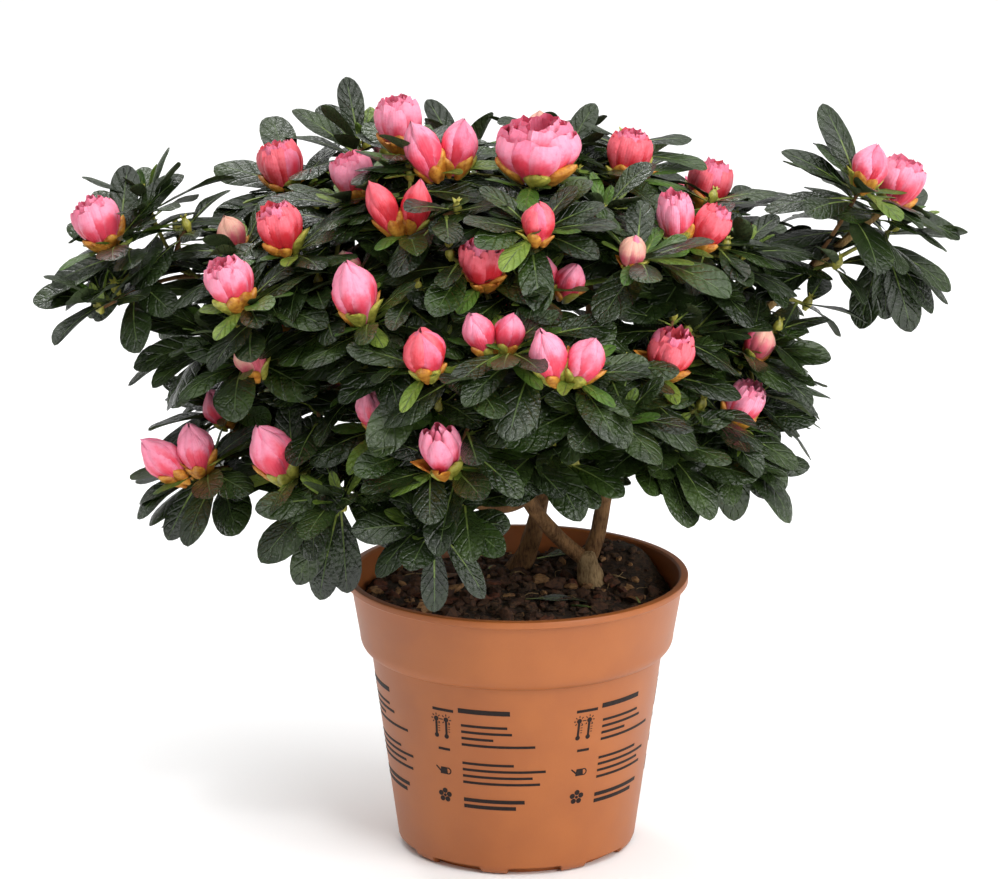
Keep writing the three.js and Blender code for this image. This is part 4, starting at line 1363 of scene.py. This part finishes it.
def grow_foliage():
    """All the masses, gathered in order into sets of pieces, each set one of every kind."""
    masses = grow_plan()
    crowding = Crowding(masses)
    sets = []
    for index, mass in enumerate(masses):
        if not sets or any(pile.triangles() > PIECE_FILL for pile in sets[-1][0]):
            sets.append(([Pile() for _ in PIECE_KINDS], []))
        piles, nodes = sets[-1]
        nodes.append(mass.node)
        grow_mass(mass, *piles, crowding, seeded(MASS_SEED + index))
    for number, (piles, nodes) in enumerate(sets, 1):
        for kind, pile in zip(PIECE_KINDS, piles):
            if pile.count:
                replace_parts(pile.piece(f"{kind}_{number}", "foliage", FINISHES), *nodes)


grow_foliage()

# ---------------------------------------------------------------- stems, limbs and boughs

WOOD_SIDES = 20
HEAD_OVERLAP = 1.0
HEAD_TAPER = 0.8


class Wood(NamedTuple):
    """How a kind of limb is barked: its relief is a share of its radius."""

    foot_overlap: float
    depth: float
    rings: int
    first_seed: float
    seed_step: float


STEM = Wood(1.0, 0.2, 48, 0, 7.3)
LIMB = Wood(3.0, 0.14, 48, 0, 7.3)
BOUGH = Wood(2.2, 0.12, 26, 40, 3.1)
# How close together the ridges and the knots come, round a limb and along it.
RIDGES = (2.2, 0.05)
KNOTS = (1, 0.16)
KNOT_SHARE = 0.8


def bark_relief(points, sides, depth, seed):
    """Ridges that run along a limb and wander, as shares of its radius."""
    relief = np.empty((len(points), sides))
    for i, point in enumerate(points):
        for j in range(sides):
            x, y = math.cos(j / sides * TURN), math.sin(j / sides * TURN)
            ridge, knot = (
                noise.noise(Vector((x * near, y * near, point[2] * high + shift)))
                for (near, high), shift in ((RIDGES, seed), (KNOTS, seed * 3))
            )
            relief[i, j] = 1 + depth * (ridge + KNOT_SHARE * knot)
    return relief


def add_wood(node, line, radius_at, wood, number, finish):
    """A limb that runs on past its ends, into what carries it and what it carries."""
    shares = np.linspace(0, 1, wood.rings)
    points = [line.point(0) - line.tangent(0) * wood.foot_overlap]
    points += [line.point(share) for share in shares]
    points += [line.point(1) + line.tangent(1) * HEAD_OVERLAP]
    radii = [radius_at(0)] + [radius_at(share) for share in shares] + [radius_at(1) * HEAD_TAPER]
    seed = wood.first_seed + number * wood.seed_step
    pile = Pile()
    add_tube(pile, points, radii, WOOD_SIDES, finish, bark_relief(points, WOOD_SIDES, wood.depth, seed))
    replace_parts(pile.piece(node + "_bark", "bark", FINISHES), node)


def make_wood():
    for number, (name, limb) in enumerate(LIMBS.items()):
        wood = LIMB if "parent" in limb else STEM
        finish = "bark_grey" if name == "stem_right" else "bark_brown"
        add_wood(name, limb_line(limb), partial(limb_radius, limb), wood, number, finish)
    for number, (name, bough) in enumerate(BOUGHS.items()):
        finish = "bark_tan" if name == "far_right" else ("twig_brown", "bark_brown")[number % 2]
        add_wood("bough_" + name, bough_line(bough), partial(blend, BOUGH_RADII), BOUGH, number, finish)


make_wood()

# ---------------------------------------------------------------- the pot

LIP_Z = POT_HEIGHT - LIP_HEIGHT
LIP_EDGE = 0.4
RIM_SOFTNESS = 0.2
HUB = 0.01  # the radius at which the pot's skin closes under and over its floor
FOOT_RING = 6
POT_CREASE = 32
NOTCH_EDGE = 0.2
BODY_FOOT = (BASE_RADIUS, BASE_CORNER)
BODY_TOP = (SHOULDER_RADIUS, SHOULDER_Z)
COLLAR_FOOT = (COLLAR_RADIUS, SHOULDER_Z + SHOULDER_ROUNDING)
COLLAR_TOP = (RIM_RADIUS - LIP_OUT, LIP_Z)
INNER = RIM_RADIUS - LIP_OUT - WALL
INNER_FOOT = (COLLAR_RADIUS - WALL, SHOULDER_Z + SHOULDER_ROUNDING + WALL)


def arc(start, end, steps):
    """A quarter turn between two (radius, z) points, bulging down and out."""
    turns = [i / steps * math.pi / 2 for i in range(steps + 1)]
    (r0, z0), (r1, z1) = start, end
    return [(r0 + (r1 - r0) * math.sin(t), z0 + (z1 - z0) * (1 - math.cos(t))) for t in turns]


def straight(start, end, steps):
    return [tuple(blend(np.array([start, end]), i / steps)) for i in range(1, steps)]


POT_OUTLINE = [
    (HUB, 0),
    (BASE_RADIUS - NOTCH_REACH - FOOT_RING, 0),
    (BASE_RADIUS - NOTCH_REACH - NOTCH_EDGE, 0),
    (BASE_RADIUS - NOTCH_REACH + NOTCH_EDGE, 0),
    *arc((BASE_RADIUS - BASE_CORNER, 0), BODY_FOOT, 6),
    *straight(BODY_FOOT, BODY_TOP, 8),
    *arc(BODY_TOP, COLLAR_FOOT, 8),
    *straight(COLLAR_FOOT, COLLAR_TOP, 4),
    COLLAR_TOP,
    (RIM_RADIUS - LIP_EDGE, LIP_Z),
    (RIM_RADIUS, LIP_Z + LIP_EDGE),
    (RIM_RADIUS, POT_HEIGHT - RIM_EDGE),
    (RIM_RADIUS - RIM_SOFTNESS, POT_HEIGHT - RIM_SOFTNESS),
    (RIM_RADIUS - RIM_EDGE, POT_HEIGHT),
    (INNER + RIM_EDGE, POT_HEIGHT),
    (INNER, POT_HEIGHT - RIM_EDGE),
    INNER_FOOT,
    (SHOULDER_RADIUS - WALL, SHOULDER_Z + WALL),
    (BASE_RADIUS - WALL, FLOOR),
    (HUB, FLOOR),
]


def notch_depth(turn, radius):
    """How far the pot's foot is raised at a place, by the drainage notches round its edge."""
    if radius < BASE_RADIUS - NOTCH_REACH:
        return 0
    off = ((turn / TURN - NOTCH_TURN) * DRAIN_NOTCHES + 0.5) % 1 - 0.5
    away = abs(off) / DRAIN_NOTCHES * TURN * radius
    return NOTCH_HEIGHT if away < NOTCH_WIDTH / 2 else 0


def make_pot():
    turns = turns_round(POT_SIDES)
    rings, heights = [], []
    for radius, z in POT_OUTLINE:
        low = [max(z, notch_depth(turn - TURN / 4, radius)) if z < NOTCH_HEIGHT else z for turn in turns]
        rings.append(ring(turns, radius, low))
        heights.append(np.full(POT_SIDES, z / POT_HEIGHT))
    spots = np.stack([np.tile(turns / TURN, len(rings)), np.concatenate(heights)], axis=1)
    pile = Pile()
    pile.add(np.concatenate(rings), closed_faces(len(rings), POT_SIDES), "pot_plastic", spots)
    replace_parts(pile.piece("pot_shell", "pot", FINISHES, POT_CREASE), "pot")


make_pot()

# ---------------------------------------------------------------- printing on the pot

# Six like panels stand round the body, each a heading bar over three rows of a plain picture and
# bars in place of text. Places are (sideways, up) in millimetres from the panel's middle.

PRINTING_SEED = 77
INK = 0.12
INK_SUNK = -0.05
PANELS = 6
PANEL_TURN = -14.5 / 360
PANEL_Z = 47.2
BAR_CUT = 3
LINE_STEP = 2.6
LINE_X = -8
LINE_PLAY = (0.92, 1.08)
# The bars beside and over the pictures: their left end, height, length and thickness.
HEADINGS = ((-9, 19, 20, 1.9), (-20, 18.6, 9, 1.1), (-18, 2.6, 5, 1.0))
# The blocks of bars beside the pictures: the first bar's height, how thick they are, their lengths.
LINE_BLOCKS = ((13.5, 1.0, (18, 21, 12, 28)), (-1.9, 1.0, (21, 30, 25, 28)), (-17.2, 1.5, (25, 21)))
GAUGE_PLACES = (-18.5, -14.2)
SUN_Z = 15.2
GAUGE_Z = 8.4
CAN_PLACE = (-16, -5.7)
FLOWER_PLACE = (-16, -16.1)


def body_radius(z):
    return blend((BASE_RADIUS, SHOULDER_RADIUS), (z - BASE_CORNER) / (SHOULDER_Z - BASE_CORNER))


def add_ink(pile, outline, turn, height):
    """A flat shape on the pot's body, from its outline on the panel, as a thin closed plate."""
    outline = np.asarray(outline, float)
    z = height + outline[:, 1]
    angles = turn - TURN / 4 + outline[:, 0] / body_radius(z)
    rings = [ring(angles, body_radius(z) + stand, z) for stand in (INK_SUNK, INK)]
    pile.add(np.concatenate(rings), closed_faces(2, len(outline)), "pot_ink")


def disc(x, y, radius, steps=14):
    turns = [i / steps * TURN for i in range(steps)]
    return [(x + radius * math.cos(turn), y + radius * math.sin(turn)) for turn in turns]


def bar(x, y, length, thickness):
    """Short lengths of bar that together follow the pot's curve."""
    cuts = max(1, round(length / BAR_CUT))
    ends = [x + length * i / cuts for i in range(cuts + 1)]
    top = y + thickness
    return [[(left, y), (right, y), (right, top), (left, top)] for left, right in zip(ends, ends[1:])]


def ray(x, y, turn, near, far, width):
    """A bar from near to far along a direction from a point."""
    middle = np.array([x, y])
    ahead = np.array([math.cos(turn), math.sin(turn)])
    side = np.array([-ahead[1], ahead[0]]) * width / 2
    one, two = middle + ahead * near, middle + ahead * far
    return [one - side, two - side, two + side, one + side]


def sun_picture(x, y):
    return [disc(x, y, 1.0)] + [ray(x, y, i / 8 * TURN, 1.4, 2.2, 0.35) for i in range(8)]


def thermometer_picture(x, y):
    marks = [ray(x + 1.3, y + 2 + i, 0, -0.5, 0.3, 0.25) for i in range(4)]
    return [disc(x, y, 0.95), ray(x, y, TURN / 4, 0.8, 6.2, 0.9), *marks]


def can_picture(x, y):
    body = [(x - 1.6, y - 1.6), (x + 1.6, y - 1.6), (x + 1.3, y + 1.2), (x - 1.3, y + 1.2)]
    spout = [(x - 1.4, y - 0.9), (x - 1.4, y - 0.1), (x - 3.3, y + 1.5), (x - 3.6, y + 1.1)]
    grip = [ray(x + 1.7, y - 0.2, i / 8 * TURN / 2 - TURN / 4, 1.0, 1.4, 0.8) for i in range(9)]
    return [body, spout, *grip]


def flower_picture(x, y):
    turns = [i / 5 * TURN + 0.3 for i in range(5)]
    petals = [disc(x + 1.9 * math.cos(turn), y + 1.9 * math.sin(turn), 1.05) for turn in turns]
    return [*petals, disc(x, y, 0.6)]


def make_printing():
    draw = seeded(PRINTING_SEED)
    plain = []
    for x in GAUGE_PLACES:
        plain += sun_picture(x, SUN_Z) + thermometer_picture(x, GAUGE_Z)
    plain += can_picture(*CAN_PLACE) + flower_picture(*FLOWER_PLACE)
    for heading in HEADINGS:
        plain += bar(*heading)
    pile = Pile()
    for panel in range(PANELS):
        lines = []
        for top, thickness, lengths in LINE_BLOCKS:
            for line, length in enumerate(lengths):
                y = top - LINE_STEP * line
                lines += bar(LINE_X, y, length * blend(LINE_PLAY, draw()), thickness)
        for outline in plain + lines:
            add_ink(pile, outline, (panel / PANELS + PANEL_TURN) * TURN, PANEL_Z)
    pile.piece("pot_printing", "pot", FINISHES)


make_printing()

# ---------------------------------------------------------------- the peat

SOIL_RINGS = 46
SOIL_SIDES = 150
SOIL_DROP = 3
SOIL_DEPTH = 12
DISH_FROM = 44
DISH_WIDTH = 18
HEAP_PLACE = (44, 40)
HEAP_HEIGHT = 10.5
HEAP_SPREAD = 380
STEM_PLACE = (29, 8)
STEM_SPREAD = 120
SOIL_SUNK = 0.6
SOIL_RAISE = 1.0
LUMP_SCALE = 0.12
LUMP_HEIGHT = 1.1
CRUMB_SCALE = 0.7
CRUMB_HEIGHT = 0.7

# What lies on the peat: each finish, how many pieces, and their sizes.
LITTER_SEED = 41
LITTER_CREASE = 30
CHIP_KINDS = (
    ("peat_crumb", 620, (1.2, 6.0)),
    ("chip_dark", 300, (2.0, 9.0)),
    ("chip_red", 50, (2.5, 9.0)),
    ("chip_tan", 50, (2.5, 10.0)),
)
CHIP_ROWS = 4
CHIP_SIDES = 6
CHIP_ENDS = (0.06, 0.94)
CHIP_WIDTHS = (0.45, 0.95)
CHIP_HEIGHTS = (0.22, 0.62)
CHIP_TILT = 0.8
CHIP_SETTLING = 1.5
CHIP_BUMPS = (0.65, 1.25)
CHIP_MARGIN = 1.5
CHIP_LIFT = 0.12
FIBRES = 18
FIBRE_STEPS = 7
FIBRE_MARGIN = 6
FIBRE_ANGLES = (1.35, 1.65)
FIBRE_LENGTHS = (5, 14)
FIBRE_SWAY = 2.2
FIBRE_BIAS = 0.6
FIBRE_RADIUS = 0.17
FIBRE_SIDES = 5
FIBRE_FROM_WALL = 4
FIBRE_LEAST = 4
FIBRE_CLEAR = 0.2
# The fallen leaves: where each lies, which way it points, its length and its finish.
FALLEN = (
    (3, -15, 0.05, 24, "leaf_deep"),
    (8, 38, 0.5, 22, "leaf_olive"),
    (28, -24, 2.6, 9, "leaf_fresh"),
    (-11, 26, 1.2, 7, "fallen_leaf"),
    (-34, 8, 0.9, 20, "fallen_leaf"),
    (46, -20, 1.7, 14, "fallen_leaf"),
)
FALLEN_LIFT = 1.8
FALLEN_SLOPE = 0.06
FALLEN_SLIM = 0.42
FALLEN_BEND = 0.25


def inner_radius(z):
    foot, low = INNER_FOOT
    return blend((foot, INNER), (z - low) / (POT_HEIGHT - RIM_EDGE - low))


def hill(x, y, place, spread):
    """1 at a place, falling away smoothly round it."""
    return math.exp(-((x - place[0]) ** 2 + (y - place[1]) ** 2) / spread)


def soil_height(x, y):
    """The peat's lumpy top: dished at its edge, heaped at the back right, smooth by the stem."""
    dish = SOIL_DROP * (max(0, math.hypot(x, y) - DISH_FROM) / DISH_WIDTH) ** 2
    heap = HEAP_HEIGHT * hill(x, y, HEAP_PLACE, HEAP_SPREAD)
    lumps = noise.fractal(Vector((x * LUMP_SCALE, y * LUMP_SCALE, 3.1)), 0.9, 2.1, 4) * LUMP_HEIGHT
    crumbs = noise.noise(Vector((x * CRUMB_SCALE, y * CRUMB_SCALE, 9.0))) * CRUMB_HEIGHT
    clear = 1 - hill(x, y, STEM_PLACE, STEM_SPREAD)
    return SOIL_TOP - SOIL_SUNK - dish + heap + (lumps + crumbs + SOIL_RAISE) * clear


def make_soil():
    turns = turns_round(SOIL_SIDES)
    reach = inner_radius(SOIL_TOP - SOIL_DROP) - GAP / 2
    low = SOIL_TOP - SOIL_DEPTH
    rings = []
    for radius in np.maximum(HUB, reach * np.arange(SOIL_RINGS + 1) / SOIL_RINGS):
        top = ring(turns, radius, 0)
        top[:, 2] = [soil_height(x, y) for x, y, _ in top]
        rings.append(top)
    rings += [ring(turns, inner_radius(low) * 0.995, low), ring(turns, HUB, low)]
    pile = Pile()
    pile.add(np.concatenate(rings), closed_faces(len(rings), SOIL_SIDES), "peat")
    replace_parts(pile.piece("peat_bed", "soil", FINISHES), "soil")


def add_chip(pile, where, size, finish, draw):
    """A rough flake of bark or a crumb of peat, lying as it fell."""
    stretch = vec(1, blend(CHIP_WIDTHS, draw()), blend(CHIP_HEIGHTS, draw())) * size / 2
    points = []
    for row in range(CHIP_ROWS + 1):
        fall = blend(CHIP_ENDS, row / CHIP_ROWS) * math.pi
        for side in range(CHIP_SIDES):
            turn = side / CHIP_SIDES * TURN
            ball = vec(math.sin(fall) * math.cos(turn), math.sin(fall) * math.sin(turn), math.cos(fall))
            points.append(ball * stretch * blend(CHIP_BUMPS, draw()))
    axis = tilted(UP, CHIP_TILT * draw() ** CHIP_SETTLING, draw() * TURN)
    side = across(tilted(UP, TURN / 4, draw() * TURN), axis)
    faces = [face[::-1] for face in closed_faces(CHIP_ROWS + 1, CHIP_SIDES)]
    pile.add(np.array(points) @ np.array([side, np.cross(axis, side), axis]) + where, faces, finish)


def soil_spot(draw, margin):
    """A place on the peat, at least a margin in from the pot's wall."""
    radius = (inner_radius(SOIL_TOP - SOIL_DROP) - margin) * math.sqrt(draw())
    turn = draw() * TURN
    x, y = radius * math.cos(turn), radius * math.sin(turn)
    return vec(x, y, soil_height(x, y))


def add_fibre(pile, draw):
    """A pale rootlet in a shallow bow, cut off where it would reach the wall."""
    start = soil_spot(draw, FIBRE_MARGIN)
    along = tilted(UP, blend(FIBRE_ANGLES, draw()), draw() * TURN)
    sway = across(UP, along) * FIBRE_BIAS + np.cross(UP, along) * (draw() - 0.5) * 2
    run = blend(FIBRE_LENGTHS, draw())
    steps = np.linspace(0, 1, FIBRE_STEPS)
    points = [start + along * run * step + sway * FIBRE_SWAY * math.sin(step * math.pi) for step in steps]
    points = [(x, y, z) for x, y, z in points if math.hypot(x, y) < INNER - FIBRE_FROM_WALL]
    if len(points) >= FIBRE_LEAST:
        points = [vec(x, y, max(z, soil_height(x, y) + FIBRE_CLEAR)) for x, y, z in points]
        add_tube(pile, points, [FIBRE_RADIUS] * len(points), FIBRE_SIDES, "fibre")


def make_litter():
    """What lies on the peat: crumbs, bark flakes, pale rootlets and a few fallen leaves."""
    draw = seeded(LITTER_SEED)
    litter, leaves = Pile(), Pile()
    for finish, count, sizes in CHIP_KINDS:
        for _ in range(count):
            size = blend(sizes, draw() ** 2)
            where = soil_spot(draw, CHIP_MARGIN + size / 2) + UP * size * CHIP_LIFT
            add_chip(litter, where, size, finish, draw)
    for _ in range(FIBRES):
        add_fibre(litter, draw)
    for x, y, turn, length, finish in FALLEN:
        along = unit(vec(math.cos(turn), math.sin(turn), FALLEN_SLOPE))
        root = vec(x, y, soil_height(x, y) + FALLEN_LIFT)
        face = across(UP, along)
        add_leaf(leaves, root, along, face, length, length * FALLEN_SLIM, FALLEN_BEND, draw, finish)
    litter.piece("peat_litter", "soil", FINISHES, LITTER_CREASE)
    leaves.piece("fallen_leaves", "soil", FINISHES)


make_soil()
make_litter()

# ---------------------------------------------------------------- stage, light and camera

STAGE_SIZE = 30.0
PAPER = (0.95, 0.95, 0.95)
SKY_STRENGTH = 0.4
MIDDLE = (0, 0, 0.2)
# The round softboxes: each one's place, what it points at, its size and its power, in metres and watts.
SOFTBOXES = {
    "ceiling": ((0, 0.6, 3.0), (0, 0.6, 0), 6.0, 125),
    "key_right": ((1.0, -1.0, 0.9), MIDDLE, 1.4, 22),
    "top_back": ((-0.5, 1.1, 1.2), MIDDLE, 0.4, 5),
    "sparkle": ((0.2, -1.3, 1.6), MIDDLE, 0.2, 6),
}
CAMERA_PLACE = (-0.0064, -1.723, 0.626)
CAMERA_PITCH = 15.2
CAMERA_LENS = 170.9
CAMERA_SENSOR = 36
CAMERA_REACH = 50


def set_out(name, data, place=(0, 0, 0)):
    """An object of the scene's own, at a place."""
    thing = bpy.data.objects.new(name, data)
    bpy.context.scene.collection.objects.link(thing)
    thing.location = place
    return thing


def make_stage():
    mesh = bpy.data.meshes.new("floor")
    half = STAGE_SIZE / 2
    corners = [(-half, -half, 0), (half, -half, 0), (half, half, 0), (-half, half, 0)]
    mesh.from_pydata(corners, [], [(0, 1, 2, 3)])
    mesh.materials.append(Finish("floor_paper", PAPER, roughness=0.9).material)
    set_out("floor", mesh)


def make_light():
    world = bpy.data.worlds.new("studio")
    bpy.context.scene.world = world
    world.use_nodes = True
    sky = world.node_tree.nodes["Background"]
    sky.inputs["Color"].default_value = (1, 1, 1, 1)
    sky.inputs["Strength"].default_value = SKY_STRENGTH
    for name, (place, aim, size, power) in SOFTBOXES.items():
        light = bpy.data.lights.new(name, "AREA")
        light.shape = "DISK"
        light.size = size
        light.energy = power
        lamp = set_out(name, light, place)
        lamp.rotation_euler = (Vector(aim) - Vector(place)).to_track_quat("-Z", "Y").to_euler()


def make_camera():
    data = bpy.data.cameras.new("camera")
    data.lens = CAMERA_LENS
    data.sensor_width = CAMERA_SENSOR
    data.clip_end = CAMERA_REACH
    camera = set_out("camera", data, CAMERA_PLACE)
    camera.rotation_euler = (math.radians(90 - CAMERA_PITCH), 0, 0)
    bpy.context.scene.camera = camera


make_stage()
make_light()
make_camera()
bpy.context.scene.view_settings.view_transform = "Standard"
